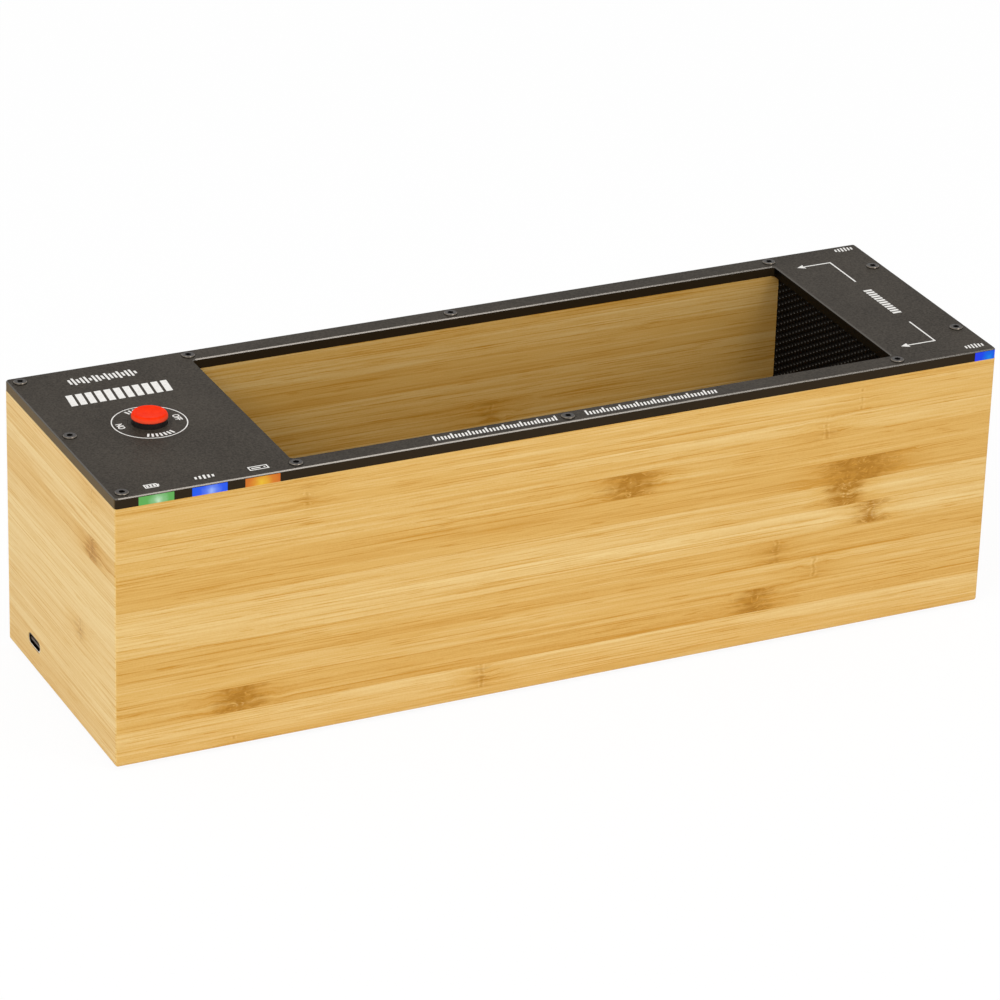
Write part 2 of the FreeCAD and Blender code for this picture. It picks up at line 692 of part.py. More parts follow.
# ---------------------------------------------------------------- push button
def make_button():
    """Red cap and black neck on a plunger, in a threaded collar that is flush with the plate and locked by
    a nut under it. Heights are taken from the plate's top."""
    cap, plunger = size.cap_width / 2, size.plunger_width / 2
    cap_foot = size.cap_top - size.cap_skirt
    cap_body = turned(
        "button_cap_body",
        [
            (0, cap_foot),
            (cap, cap_foot),
            (cap, size.cap_top),
            (cap - size.cap_edge * 2, size.cap_top),
            (0, size.cap_top - size.cap_dish),
        ],
    )

    def at_rim(edge):
        return is_ring(edge, cap) and lies_at(edge, size.cap_top)

    dress(cap_body, "Fillet", at_rim, Radius=size.cap_edge)
    node(place(cap_body, button_x, button_y, plate_top), "button_cap")

    neck_foot = cap_foot - size.neck_height
    neck_body = turned(
        "button_neck_body",
        [
            (plunger + size.fit_gap / 2, cap_foot),
            (neck_radius, cap_foot),
            (neck_radius, neck_foot),
            (plunger + size.fit_gap / 2, neck_foot),
        ],
    )
    node(place(neck_body, button_x, button_y, plate_top), "button_neck")

    barrel_end = -size.barrel_length
    shoulder_top = barrel_end - size.fit_gap / 2
    plunger_end = shoulder_top - size.shoulder_height
    plunger_body = turned(
        "button_plunger_body",
        [
            (0, cap_foot),
            (plunger, cap_foot),
            (plunger, shoulder_top),
            (size.shoulder_width / 2, shoulder_top),
            (size.shoulder_width / 2, plunger_end),
            (0, plunger_end),
        ],
    )
    node(place(plunger_body, button_x, button_y, plate_top), "button_plunger")

    well_foot = neck_foot - size.button_travel - size.fit_gap * 4
    well, bore = neck_radius + size.neck_gap, plunger + size.plunger_gap
    collar_body = turned(
        "switch_collar_body",
        [
            (barrel_radius, 0),
            (well, 0),
            (well, well_foot),
            (bore, well_foot),
            (bore, barrel_end),
            (barrel_radius, barrel_end),
        ],
    )
    node(place(collar_body, button_x, button_y, plate_top), "switch_collar")

    well_floor = barrel_end - size.switch_height + size.switch_base
    housing = body("switch_body_body")
    half = size.switch_side / 2
    profile = sketch(housing, "XY_Plane", barrel_end - size.switch_height)
    rectangle(profile, -half, -half, half, half)
    pad(housing, profile, size.switch_height)
    well = sketch(housing, "XY_Plane", barrel_end)
    circle(well, 0, 0, size.shoulder_width / 2 + size.plunger_gap)
    pocket(housing, well, size.switch_height - size.switch_base)
    node(place(housing, button_x, button_y, plate_top), "switch_body")

    nut = body("switch_nut_body")
    profile = sketch(nut, "XY_Plane", -size.plate_thick - size.nut_height)
    corner = size.nut_flats / math.sqrt(3)
    outline(
        profile,
        [
            (corner * math.cos(math.radians(angle)), corner * math.sin(math.radians(angle)))
            for angle in range(30, 390, 60)
        ],
    )
    circle(profile, 0, 0, barrel_radius + size.fit_gap / 2)
    pad(nut, profile, size.nut_height)
    node(place(nut, button_x, button_y, plate_top), "switch_nut")

    lugs = []
    lug_top = plate_top + barrel_end - size.switch_height
    for side in (-1, 1):
        x, y = button_x + size.lug_spread / 2 * side, button_y
        low = (x - size.lug_thick / 2, y - size.lug_width / 2, lug_top - size.lug_length)
        high = (x + size.lug_thick / 2, y + size.lug_width / 2, lug_top)
        lugs.append(block(f"lug_{len(lugs) + 1}", low, high))
    node(together("switch_lugs", lugs), "switch_lugs")
    make_spring(plate_top + well_floor, plate_top + plunger_end)


def make_spring(low, high):
    """Return spring: a helix of square wire between the switch's floor and the plunger."""
    wire = float(size.spring_wire)
    radius = (float(size.spring_width) - wire) / 2
    height = float(high - low) - wire
    turns = float(size.spring_turns)
    path = Part.makeLongHelix(height / turns, height, radius)
    square = Part.makePolygon(
        [
            Vector(radius + across * wire / 2, 0, up * wire / 2)
            for across, up in ((-1, -1), (1, -1), (1, 1), (-1, 1), (-1, -1))
        ]
    )
    pipe = Part.Wire(path.Edges).makePipeShell([square], True, True)
    spring = doc.addObject("Part::Feature", "return_spring")
    spring.Shape = pipe
    place(spring, button_x, button_y, low + size.spring_wire / 2)
    node(spring, "return_spring")


# ---------------------------------------------------------------- grilles, baffles and speakers
def make_grille(name, low_x):
    """Perforated sheet: hexagonal holes on a 60 degree stagger, in one face that is raised to the sheet's
    thickness."""
    pitch, hole = float(size.grille_pitch), float(size.grille_hole) / 2
    width, height = float(inner_back - inner_front), float(wood_top - floor_top)
    row_rise = pitch * math.sqrt(3) / 2
    rows = int((height - 2 * float(size.grille_margin) - 2 * hole) / row_rise) + 1
    first_row = (height - (rows - 1) * row_rise) / 2

    def ring(points):
        points = [Vector(0, y, z) for y, z in points]
        return Part.makePolygon(points + points[:1])

    rings = [ring([(0, 0), (width, 0), (width, height), (0, height)])]
    turns = [math.radians(angle) for angle in range(30, 390, 60)]
    corners = [(hole * math.cos(turn), hole * math.sin(turn)) for turn in turns]
    most = int((width - 2 * float(size.grille_margin) - 2 * hole) / pitch) + 1
    for row in range(rows):
        columns = most - row % 2
        start = (width - (columns - 1) * pitch) / 2
        z = first_row + row * row_rise
        for column in range(columns):
            y = start + column * pitch
            rings.append(ring([(y + across, z + up) for across, up in corners]))
    face = Part.Face(rings)
    face.validate()
    grille = doc.addObject("Part::Feature", name)
    grille.Shape = face.extrude(Vector(float(size.grille_thick), 0, 0))
    place(grille, low_x, inner_front, floor_top)
    node(grille, name)


def speaker_places():
    """Screw places round a speaker's axis."""
    half = size.speaker_side / 2 - size.speaker_hole_inset
    return [(half * u, half * v) for u in (-1, 1) for v in (-1, 1)]


def make_baffle(name, low_x):
    """Board in the grooves that carries a speaker, with a notch for the leads."""
    high_x = low_x + size.baffle_thick
    reach = size.groove_depth - size.fit_gap
    low, high = (low_x, inner_front - reach, inner_floor), (high_x, inner_back + reach, wood_top)
    board = block(name + "_board", low, high)
    tools = [
        rod(
            name + "_opening",
            (low_x, 0, speaker_axis),
            rim_radius + size.fit_gap * 5,
            size.baffle_thick,
            along_x,
        ),
        block(
            name + "_notch",
            (low_x, notch_y - size.notch_width / 2, inner_floor),
            (high_x, notch_y + size.notch_width / 2, inner_floor + size.notch_height),
        ),
    ]
    for y, z in speaker_places():
        hole = size.speaker_screw / 2 + size.fit_gap / 2
        foot = (low_x, y, speaker_axis + z)
        tools.append(rod(f"{name}_hole_{len(tools)}", foot, hole, size.baffle_thick, along_x))
    node(cut(name, board, tools), name)


def make_speaker(side, rear_x, turn):
    """A small full-range speaker. Its own Z axis points out of its cone; turn lays that along X."""

    def seat(thing, name):
        node(place(thing, rear_x, 0, speaker_axis, turn), f"{side}_{name}")

    rim = rim_radius
    wall = size.basket_wall
    mouth = rim - size.fit_gap * 10
    back_radius = size.basket_back / 2
    depth = size.basket_depth
    basket = body(f"{side}_basket_body")
    flange = sketch(basket, "XY_Plane", -size.flange_thick)
    half = size.speaker_side / 2
    rectangle(flange, -half, -half, half, half)
    pad(basket, flange, size.flange_thick)
    dress(basket, "Fillet", is_upright, Radius=size.speaker_corner)
    shell = sketch(basket, "XZ_Plane")
    outline(
        shell,
        [
            (0, -size.flange_thick),
            (mouth + wall, -size.flange_thick),
            (back_radius, -depth - wall),
            (0, -depth - wall),
        ],
    )
    spin = feature(basket, "Revolution", shell)
    spin.ReferenceAxis = (shell, ["V_Axis"])
    spin.Angle = 360
    doc.recompute()
    before = basket.Shape.Volume
    hollow = sketch(basket, "XZ_Plane")
    outline(
        hollow,
        [
            (0, 0),
            (mouth, 0),
            (mouth, -size.flange_thick),
            (back_radius - wall, -depth),
            (size.magnet_bore / 2, -depth),
            (size.magnet_bore / 2, -depth - wall),
            (0, -depth - wall),
        ],
    )
    groove = feature(basket, "Groove", hollow)
    groove.ReferenceAxis = (hollow, ["V_Axis"])
    groove.Angle = 360
    doc.recompute()
    if not basket.Shape.Volume < before - 1:
        raise RuntimeError("the basket isn't hollow")
    windows = sketch(basket, "XY_Plane")
    inner, outer = back_radius + wall, mouth - wall
    for u, v in ((1, 0), (0, 1), (-1, 0), (0, -1)):
        spread = inner / 2
        corners = [(inner, 1), (inner, -1), (outer, -1), (outer, 1)]
        outline(windows, [(out * u - spread * v * way, out * v + spread * u * way) for out, way in corners])
    pocket(basket, windows, depth + wall)
    holes = sketch(basket, "XY_Plane")
    for u, v in speaker_places():
        circle(holes, u, v, size.speaker_screw / 2 + size.fit_gap)
    pocket(basket, holes, size.flange_thick)
    seat(basket, "speaker_basket")

    thick = size.cone_thick
    roll_out = rim - thick * 3
    roll_in = roll_out - size.roll_width
    neck = size.coil_width / 2
    neck_depth = -depth + size.cap_rise
    surface = [
        (rim, thick),
        (roll_out, thick),
        (roll_out - size.roll_width / 2, thick + size.roll_height),
        (roll_in, thick),
        (neck, neck_depth + thick),
        (0, neck_depth + thick + size.cap_rise),
    ]
    under = [(radius, height - thick) for radius, height in surface]
    seat(turned(f"{side}_cone_body", surface + under[::-1]), "speaker_cone")

    ring_top = -depth - wall
    ring_foot = ring_top - size.magnet_height
    ring = [
        (size.magnet_bore / 2, ring_top),
        (size.magnet_width / 2, ring_top),
        (size.magnet_width / 2, ring_foot),
        (size.magnet_bore / 2, ring_foot),
    ]
    seat(turned(f"{side}_magnet_body", ring), "speaker_magnet")
    yoke = [
        (0, ring_top),
        (size.pole_width / 2, ring_top),
        (size.pole_width / 2, ring_foot),
        (size.magnet_width / 2, ring_foot),
        (size.magnet_width / 2, ring_foot - size.yoke_thick),
        (0, ring_foot - size.yoke_thick),
    ]
    seat(turned(f"{side}_yoke_body", yoke), "speaker_yoke")


def make_speaker_screws():
    """Eight pan-head screws through the flanges into the baffles."""
    flange = size.flange_thick
    profile = [
        (0, -flange - size.speaker_screw_rise),
        (size.speaker_screw_head / 2, -flange - size.speaker_screw_rise),
        (size.speaker_screw_head / 2, -flange),
        (size.speaker_screw / 2, -flange),
        (size.speaker_screw / 2, size.speaker_screw_bite),
        (0, size.speaker_screw_bite),
    ]
    screws = []
    for rear_x, angle in ((left_baffle_rear, 90), (right_baffle_rear, -90)):
        for y, z in speaker_places():
            screw = turned(f"speaker_screw_{len(screws) + 1}", profile)
            screws.append(place(screw, rear_x, y, speaker_axis + z, ((0, 1, 0), angle)))
    node(together("speaker_screws", screws), "speaker_screws")


def make_sound():
    make_grille("left_grille", left_baffle_face)
    make_grille("right_grille", right_grille_face)
    make_baffle("left_baffle", left_baffle_rear)
    make_baffle("right_baffle", right_baffle_face)
    make_speaker("left", left_baffle_rear, ((0, 1, 0), 90))
    make_speaker("right", right_baffle_rear, ((0, 1, 0), -90))
    make_speaker_screws()


# ---------------------------------------------------------------- electronics
def board_hole_places():
    inset = size.board_hole_inset
    columns, rows = (board_left + inset, board_right - inset), (board_front + inset, board_back - inset)
    return [(x, y) for x in columns for y in rows]


def make_board():
    """Control board with a tongue under the charging socket, on four spacers."""
    owner = body("control_board_body")
    profile = sketch(owner, "XY_Plane", board_bottom)
    half = size.tongue_width / 2
    tongue_end = left + size.skin + size.fit_gap
    outline(
        profile,
        [
            (board_left, board_front),
            (board_right, board_front),
            (board_right, board_back),
            (board_left, board_back),
            (board_left, usb_y + half),
            (tongue_end, usb_y + half),
            (tongue_end, usb_y - half),
            (board_left, usb_y - half),
        ],
    )
    pad(owner, profile, size.board_thick)
    holes = sketch(owner, "XY_Plane", board_top)
    for x, y in board_hole_places():
        circle(holes, x, y, size.board_screw / 2 + size.fit_gap)
    pocket(owner, holes, size.board_thick)
    node(owner, "control_board")

    spacers, screws = [], []
    tip = inner_floor - size.board_screw_bite
    for number, (x, y) in enumerate(board_hole_places(), start=1):
        spacer = rod(f"spacer_{number}", (x, y, inner_floor), size.standoff_width / 2, size.standoff_height)
        bore = rod(
            f"spacer_bore_{number}",
            (x, y, inner_floor),
            size.board_screw / 2 + size.fit_gap / 2,
            size.standoff_height,
        )
        spacers.append(cut(f"bored_spacer_{number}", spacer, [bore]))
        profile = [
            (0, board_top + size.board_screw_rise),
            (size.board_screw_head / 2, board_top + size.board_screw_rise),
            (size.board_screw_head / 2, board_top),
            (size.board_screw / 2, board_top),
            (size.board_screw / 2, tip),
            (0, tip),
        ]
        screws.append(place(turned(f"board_screw_{number}", profile), x, y, 0))
    node(together("board_spacers", spacers), "board_spacers")
    node(together("board_screws", screws), "board_screws")


def make_socket():
    """Charging socket: a drawn steel shell round a contact tongue."""
    low = left + size.usb_recess
    outer = stadium("usb_outer", low, low + size.usb_depth, size.usb_width, size.usb_height)
    inner = stadium(
        "usb_inner",
        low,
        low + size.usb_depth - size.usb_wall,
        size.usb_width - size.usb_wall * 2,
        size.usb_height - size.usb_wall * 2,
    )
    node(cut("usb_shell", outer, [inner]), "usb_shell")
    half_width, half_thick = size.usb_tongue_width / 2, size.usb_tongue_thick / 2
    tongue_low = (low + size.usb_recess * 3, usb_y - half_width, usb_z - half_thick)
    tongue_high = (low + size.usb_depth - size.usb_wall, usb_y + half_width, usb_z + half_thick)
    node(block("usb_tongue", tongue_low, tongue_high), "usb_tongue")


def make_components():
    """Chips, capacitors and plug sockets on the control board."""
    half = size.chip_side / 2
    middle_x, middle_y = (board_left + board_right) / 2, (board_front + board_back) / 2
    chips = []
    for dx, dy in ((-1, -2), (1, 2)):
        x, y = middle_x + half * dx, middle_y + half * dy
        low, high = (x - half, y - half, board_top), (x + half, y + half, board_top + size.chip_height)
        chips.append(block(f"chip_{len(chips) + 1}", low, high))
    node(together("board_chips", chips), "board_chips")
    radius = size.capacitor_width / 2
    first_y = board_front + size.board_hole_inset * 2
    cans = []
    for number in range(2):
        x = middle_x + size.capacitor_width * (number - 0.5) * 1.2
        foot = (x, first_y, board_top)
        cans.append(rod(f"capacitor_{number + 1}", foot, radius, size.capacitor_height))
    node(together("board_capacitors", cans), "board_capacitors")

    length, half, height = size.connector_length, size.connector_width / 2, size.connector_height
    sockets = []
    for number in range(4):
        y = notch_y + size.connector_pitch * (number - 1)
        low, high = (board_right - length, y - half, board_top), (board_right, y + half, board_top + height)
        sockets.append(block(f"plug_socket_{number + 1}", low, high))
    node(together("board_sockets", sockets), "board_sockets")


def make_battery():
    """Two flat lithium cells under the bay's floor."""
    middle = (left_baffle_face + right_baffle_face) / 2
    low_y = -size.battery_width / 2
    cells = []
    for side in (-1, 1):
        x = middle + (size.battery_length + size.battery_spacing) / 2 * side
        low = (x - size.battery_length / 2, low_y, inner_floor)
        high = (x + size.battery_length / 2, low_y + size.battery_width, inner_floor + size.battery_height)
        cells.append(block(f"cell_{len(cells) + 1}", low, high))
    node(together("battery_cells", cells), "battery_cells")


# ---------------------------------------------------------------- build, check and write
make_walls()
make_base()
make_plate()
make_windows()
make_lights()
make_plate_screws()
make_button()
make_sound()
make_board()
make_socket()
make_components()
make_battery()
doc.recompute()

for thing in doc.Objects:
    if {"Invalid", "Error"} & set(thing.State):
        raise RuntimeError(f"{thing.Name} didn't build: {thing.State}")
for thing in nodes:
    if thing.Shape.isNull() or not thing.Shape.isValid() or not thing.Shape.Solids:
        raise RuntimeError(f"{thing.Label} has no valid solid")

os.makedirs("parts", exist_ok=True)
for thing in nodes:
    thing.Shape.exportStep(os.path.join("parts", thing.Label + ".step"))
print(len(nodes), "sub-parts written")
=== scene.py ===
import math

import bmesh
import bpy
from mathutils import Matrix, Vector


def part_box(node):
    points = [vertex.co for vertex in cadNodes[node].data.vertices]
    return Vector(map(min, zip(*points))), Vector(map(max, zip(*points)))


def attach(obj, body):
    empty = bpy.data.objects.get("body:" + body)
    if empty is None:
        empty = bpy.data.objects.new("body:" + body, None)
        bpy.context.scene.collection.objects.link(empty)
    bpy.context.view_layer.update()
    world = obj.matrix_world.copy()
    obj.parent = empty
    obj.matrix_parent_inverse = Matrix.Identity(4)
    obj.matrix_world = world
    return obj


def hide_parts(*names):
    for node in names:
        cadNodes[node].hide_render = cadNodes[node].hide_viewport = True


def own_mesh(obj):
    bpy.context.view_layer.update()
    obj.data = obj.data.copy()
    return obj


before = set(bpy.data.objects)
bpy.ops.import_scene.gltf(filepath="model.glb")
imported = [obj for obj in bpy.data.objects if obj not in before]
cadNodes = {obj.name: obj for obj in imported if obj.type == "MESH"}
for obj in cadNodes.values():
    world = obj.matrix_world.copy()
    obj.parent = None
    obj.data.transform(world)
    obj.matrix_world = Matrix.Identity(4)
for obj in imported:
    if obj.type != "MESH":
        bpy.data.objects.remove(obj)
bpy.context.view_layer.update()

mm = 0.001
plateLow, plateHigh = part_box("top_plate")
print("frame loaded:", len(cadNodes), "nodes")


def onPlate(acrossMm, inMm, upMm=0.0):  # a point on the plate, measured from its front left corner
    return Vector((plateLow.x + acrossMm * mm, plateLow.y + inMm * mm, plateHigh.z + upMm * mm))


def newObject(name, bm, material):
    mesh = bpy.data.meshes.new(name)
    bm.to_mesh(mesh)
    bm.free()
    mesh.materials.append(material)
    made = bpy.data.objects.new(name, mesh)
    bpy.context.scene.collection.objects.link(made)
    return made


def addPiece(name, bm, material, body="case", stands=(), sharpAngle=35):
    piece = newObject(name, bm, material)
    piece.data.shade_smooth()
    piece.data.set_sharp_from_angle(angle=math.radians(sharpAngle))
    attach(piece, body)
    if stands:
        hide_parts(*stands)
    return piece


def vertsOf(geometry):
    return [item for item in geometry if isinstance(item, bmesh.types.BMVert)]


def spinProfile(bm, profileMm, steps, foot=Vector()):  # a full turn of (radius, height) points about Z
    verts = [bm.verts.new((radius * mm, 0, height * mm)) for radius, height in profileMm]
    edges = [bm.edges.new(pair) for pair in zip(verts, verts[1:])]
    bmesh.ops.spin(
        bm, geom=verts + edges, cent=(0, 0, 0), axis=(0, 0, 1), angle=math.tau, steps=steps, use_merge=True
    )
    bmesh.ops.remove_doubles(bm, verts=bm.verts[:], dist=1e-6)
    bmesh.ops.recalc_face_normals(bm, faces=bm.faces[:])
    bmesh.ops.translate(bm, verts=bm.verts[:], vec=foot)


def softenEdges(bm, edges, widthMm, segments):
    bmesh.ops.bevel(
        bm,
        geom=edges,
        offset=widthMm * mm,
        offset_type="OFFSET",
        affect="EDGES",
        segments=segments,
        profile=0.5,
        material=-1,
    )


def copyTo(bm, places, turns=None):  # everything made so far, once at each place
    geometry = bm.verts[:] + bm.edges[:] + bm.faces[:]
    for number in range(len(places) - 1, -1, -1):  # the first place takes the original, so it comes last
        moved = vertsOf(bmesh.ops.duplicate(bm, geom=geometry)["geom"] if number else geometry)
        if turns:
            turn = Matrix.Rotation(turns[number], 3, "Z")
            bmesh.ops.rotate(bm, verts=moved, cent=(0, 0, 0), matrix=turn)
        bmesh.ops.translate(bm, verts=moved, vec=places[number])


def hexColour(code):  # sRGB hex to linear
    parts = [int(code[at : at + 2], 16) / 255 for at in (1, 3, 5)]
    parts = [part / 12.92 if part <= 0.04045 else ((part + 0.055) / 1.055) ** 2.4 for part in parts]
    return (*parts, 1.0)


mixA, mixB, mixResult = 6, 7, 2  # a colour Mix node's sockets, because their names repeat


def addNode(tree, kind, sockets=(), **settings):  # sockets by name or number, or a plain row from the first
    node = tree.nodes.new("ShaderNode" + kind)
    for name, value in settings.items():
        setattr(node, name, value)
    for socket, value in sockets.items() if isinstance(sockets, dict) else enumerate(sockets):
        if isinstance(value, bpy.types.NodeSocket):
            tree.links.new(value, node.inputs[socket])
        else:
            node.inputs[socket].default_value = value
    return node


def fillRamp(ramp, stops, interpolation="LINEAR"):  # stops are (place, hex or grey)
    band = ramp.color_ramp
    band.interpolation = interpolation
    while len(band.elements) < len(stops):
        band.elements.new(1.0)
    for element, (place, tone) in zip(band.elements, stops):
        element.position = place
        element.color = hexColour(tone) if isinstance(tone, str) else (tone, tone, tone, 1)
    return ramp.outputs["Color"]


def startMaterial(name, looks, turn=(0, 0, 0)):  # gives the shader, and a pattern point in millimetres
    material = bpy.data.materials.new(name)
    material.use_nodes = True
    tree = material.node_tree
    shader = tree.nodes["Principled BSDF"]
    for socket, value in looks.items():
        shader.inputs[socket].default_value = value
    place = addNode(tree, "TexCoord").outputs["Object"]
    turned = [math.radians(angle) for angle in turn]
    point = addNode(tree, "Mapping", {"Vector": place, "Rotation": turned, "Scale": [1 / mm] * 3})
    return material, tree, shader, point.outputs["Vector"]


# what all plain finishes share: the noise's own settings, where it is dark and light, and the bump's strength
grainLook = {"detail": 3.0, "roughness": 0.6, "dark": 0.35, "light": 0.65, "bump": 0.6}


def grainyMaterial(name, darkHex, lightHex, grainMm, looks, bumpMm=0.0, stretch=(1, 1, 1)):
    material, tree, shader, point = startMaterial(name, looks)
    scale = [part / grainMm for part in stretch]
    grainPoint = addNode(tree, "Mapping", {"Vector": point, "Scale": scale}).outputs["Vector"]
    sockets = {"Detail": grainLook["detail"], "Roughness": grainLook["roughness"]}
    grain = addNode(tree, "TexNoise", {"Vector": grainPoint, "Scale": 1.0, **sockets}).outputs["Fac"]
    stops = [(grainLook["dark"], darkHex), (grainLook["light"], lightHex)]
    colour = fillRamp(addNode(tree, "ValToRGB", [grain]), stops)
    tree.links.new(colour, shader.inputs["Base Color"])
    if bumpMm:
        sockets = {"Height": grain, "Distance": bumpMm * mm, "Strength": grainLook["bump"]}
        tree.links.new(addNode(tree, "Bump", sockets).outputs["Normal"], shader.inputs["Normal"])
    return material


def tintSlopes(material, axis, tints, bareRoughness=None, fadeMm=None):
    # a tint is (slope, reach, hex): a slope of 1 faces along the axis, -1 faces against it, and 0.707 is at
    # 45 degrees. bareRoughness makes the last tint bare metal, and fadeMm, (axis, full at, gone at), keeps
    # them to one end
    tree = material.node_tree
    shader = tree.nodes["Principled BSDF"]
    colour = shader.inputs["Base Color"].links[0].from_socket
    facing = addNode(tree, "NewGeometry").outputs["True Normal"]
    slope = addNode(tree, "SeparateXYZ", [facing]).outputs[axis]
    for slopeAt, reach, hexCode in tints:
        off = addNode(tree, "Math", (slope, slopeAt), operation="SUBTRACT").outputs[0]
        off = addNode(tree, "Math", [off], operation="ABSOLUTE").outputs[0]
        sockets = {"Value": off, "From Max": reach, "To Min": 1.0, "To Max": 0.0}
        share = addNode(tree, "MapRange", sockets, interpolation_type="SMOOTHSTEP").outputs[0]
        if fadeMm:
            fadeAxis, full, gone = fadeMm
            place = addNode(tree, "TexCoord").outputs["Object"]
            place = addNode(tree, "SeparateXYZ", [place]).outputs[fadeAxis]
            share = addNode(tree, "MapRange", (place, full * mm, gone * mm, share, 0.0)).outputs[0]
        sockets = {"Factor": share, mixA: colour, mixB: hexColour(hexCode)}
        colour = addNode(tree, "Mix", sockets, data_type="RGBA").outputs[mixResult]
    tree.links.new(colour, shader.inputs["Base Color"])
    for name, value in (("Metallic", 1.0), ("Roughness", bareRoughness)) if bareRoughness else ():
        sockets = {"Value": share, "To Min": shader.inputs[name].default_value, "To Max": value}
        tree.links.new(addNode(tree, "MapRange", sockets).outputs[0], shader.inputs[name])


def dressNodes(material, *names):
    for name in names:
        cadNodes[name].data.materials.clear()
        cadNodes[name].data.materials.append(material)


# camera, floor and light
cameraView = {
    "place": (-0.55147, -1.11830, 0.63172),
    "turn": (64.560, -1.667, -25.411),
    "lensMm": 175.21,
    "sensorMm": 36,
}
studio = {
    "floorHex": "#FFFFFF",
    "floorHalf": 6,  # half its side, in metres
    "floorGlow": 0.93,  # share of plain white in the floor as it is seen; the rest keeps the shadow
    "worldLight": 0.66,
    # name: place, aim, size in metres, watts
    "lamps": {
        "keyLamp": ((-1.6, -0.9, 1.7), (0, 0, 0.04), 1.2, 20.0),
        "fillLamp": ((0.9, -2.0, 1.0), (0, 0, 0.04), 1.6, 7.0),
        "edgeLamp": ((0.66, -0.86, 1.68), (0, 0, 0.08), 0.5, 4.5),
    },
}


def makeCamera():
    lens = bpy.data.cameras.new("camera")
    lens.lens = cameraView["lensMm"]
    lens.sensor_width = cameraView["sensorMm"]
    lens.clip_end = 50
    camera = bpy.data.objects.new("camera", lens)
    camera.location = cameraView["place"]
    camera.rotation_euler = [math.radians(angle) for angle in cameraView["turn"]]
    bpy.context.scene.collection.objects.link(camera)
    bpy.context.scene.camera = camera


def viewRays(tree):  # 1 where the camera, gloss or a clear part looks at the studio, 0 where it gives light
    rays = addNode(tree, "LightPath").outputs
    sockets = (rays["Is Camera Ray"], rays["Is Glossy Ray"])
    either = addNode(tree, "Math", sockets, operation="MAXIMUM").outputs[0]
    return addNode(tree, "Math", (either, rays["Is Transmission Ray"]), operation="MAXIMUM").outputs[0]


def makeFloor():
    # matt paper: plain white, with next to no gloss
    looks = {"Base Color": hexColour(studio["floorHex"]), "Roughness": 0.9, "Specular IOR Level": 0.1}
    material, tree, shader, _ = startMaterial("paperFloor", looks)
    seen = addNode(tree, "Math", (viewRays(tree), studio["floorGlow"]), operation="MULTIPLY").outputs[0]
    white = addNode(tree, "Emission", {"Color": (1, 1, 1, 1), "Strength": 1.0}).outputs[0]
    mixed = addNode(tree, "MixShader", (seen, shader.outputs["BSDF"], white)).outputs[0]
    tree.links.new(mixed, tree.nodes["Material Output"].inputs["Surface"])
    bm = bmesh.new()
    bmesh.ops.create_grid(bm, x_segments=1, y_segments=1, size=studio["floorHalf"])
    floor = newObject("floor", bm, material)


def makeLight():
    world = bpy.data.worlds.new("studioWorld")
    world.use_nodes = True
    bpy.context.scene.world = world
    tree = world.node_tree
    sky = tree.nodes["Background"]
    sky.inputs["Color"].default_value = (1, 1, 1, 1)
    sockets = {"Value": viewRays(tree), "To Min": studio["worldLight"], "To Max": 1.0}
    tree.links.new(addNode(tree, "MapRange", sockets).outputs[0], sky.inputs["Strength"])
    for name, (place, aim, size, power) in studio["lamps"].items():
        lamp = bpy.data.lights.new(name, "AREA")
        lamp.size = size
        lamp.energy = power
        holder = bpy.data.objects.new(name, lamp)
        holder.location = place
        holder.rotation_euler = (Vector(aim) - Vector(place)).to_track_quat("-Z", "Y").to_euler()
        bpy.context.scene.collection.objects.link(holder)


makeCamera()
makeFloor()
makeLight()
bpy.context.scene.view_settings.view_transform = "Standard"
print("camera, floor and light made")

# bamboo: strips glued edge to edge, sanded and matt lacquered. It gives straight fine fibres, a change of
# tone at each glue line, and brown smudges where the culm had its joints
bamboo = {
    "darkHex": "#C38B2B",
    "middleHex": "#D6AA5B",
    "lightHex": "#E6C889",
    "knotHex": "#A8720E",
    "stripMm": 7.2,
    "wanderMm": (90, 40, 1.6),  # waves of a glue line: length, height and reach
    "jump": 3.7,  # how far the fibres' pattern jumps at a glue line
    "lean": 0.10,  # how much paler a strip may be along one edge
    # soft bands, fine fibres, and pores drawn coarser than life to show: length and height, detail, share
    "fibres": (((130, 1.9), 2.0, 0.60), ((32, 0.48), 4.0, 0.65), ((0.5, 0.5), 1.0, 0.16)),
    # long dark threads and short dark flecks: length and height, where they start and are full, shade
    "threads": (((64, 0.45), 0.09, 0.18, -0.30), ((14, 0.34), 0.11, 0.18, -0.28)),
    "glue": (0.465, 0.5, 0.0, -0.18),  # share of a strip where it starts and is full, and the shade at each
    "ramp": (0.1, 0.5, 0.92),  # places of the three wood colours
    "reliefMm": 0.03,
}
knot = {
    "reach": 3.0,  # where a knot has faded out, in its half widths
    "shade": -0.30,
    "swayMm": (5, 1.8, 2.0),  # waves of its outline: length, height and reach
    "bendMm": (6, 3.5, 6.0),  # the same of the fibres that pass it
    # streaks along the fibres, the broken ridge across its middle, light wavy lines and patches in its heart:
    # length and height of each
    "tailMm": (24, 0.9),
    "crestMm": (9, 1.5),
    "waveMm": (7, 1.1),
    "blotchMm": (2.4, 1.8),
    # where each of them starts and is full, and how strong it is there
    "tails": (0.0, 0.3, 0.0, 0.8),
    "crest": (-0.06, 0.06, 0.0, 1.0),
    "waves": (0.0, 0.03, 0.1, 1.0),
    "blotches": (-0.16, 0.1, 0.5, 1.1),
    "heart": (0.4, 0.9, 0.0, 1.0),
    "ridge": (0.1, 0.4, 0.7, 0.0),
    "pale": (0.0, 0.5, 0.3, 0.0),  # the light line beside the ridge
    "paleAtMm": 0.8,
    "stripGap": 1000.0,  # keeps a knot off the other strips
}
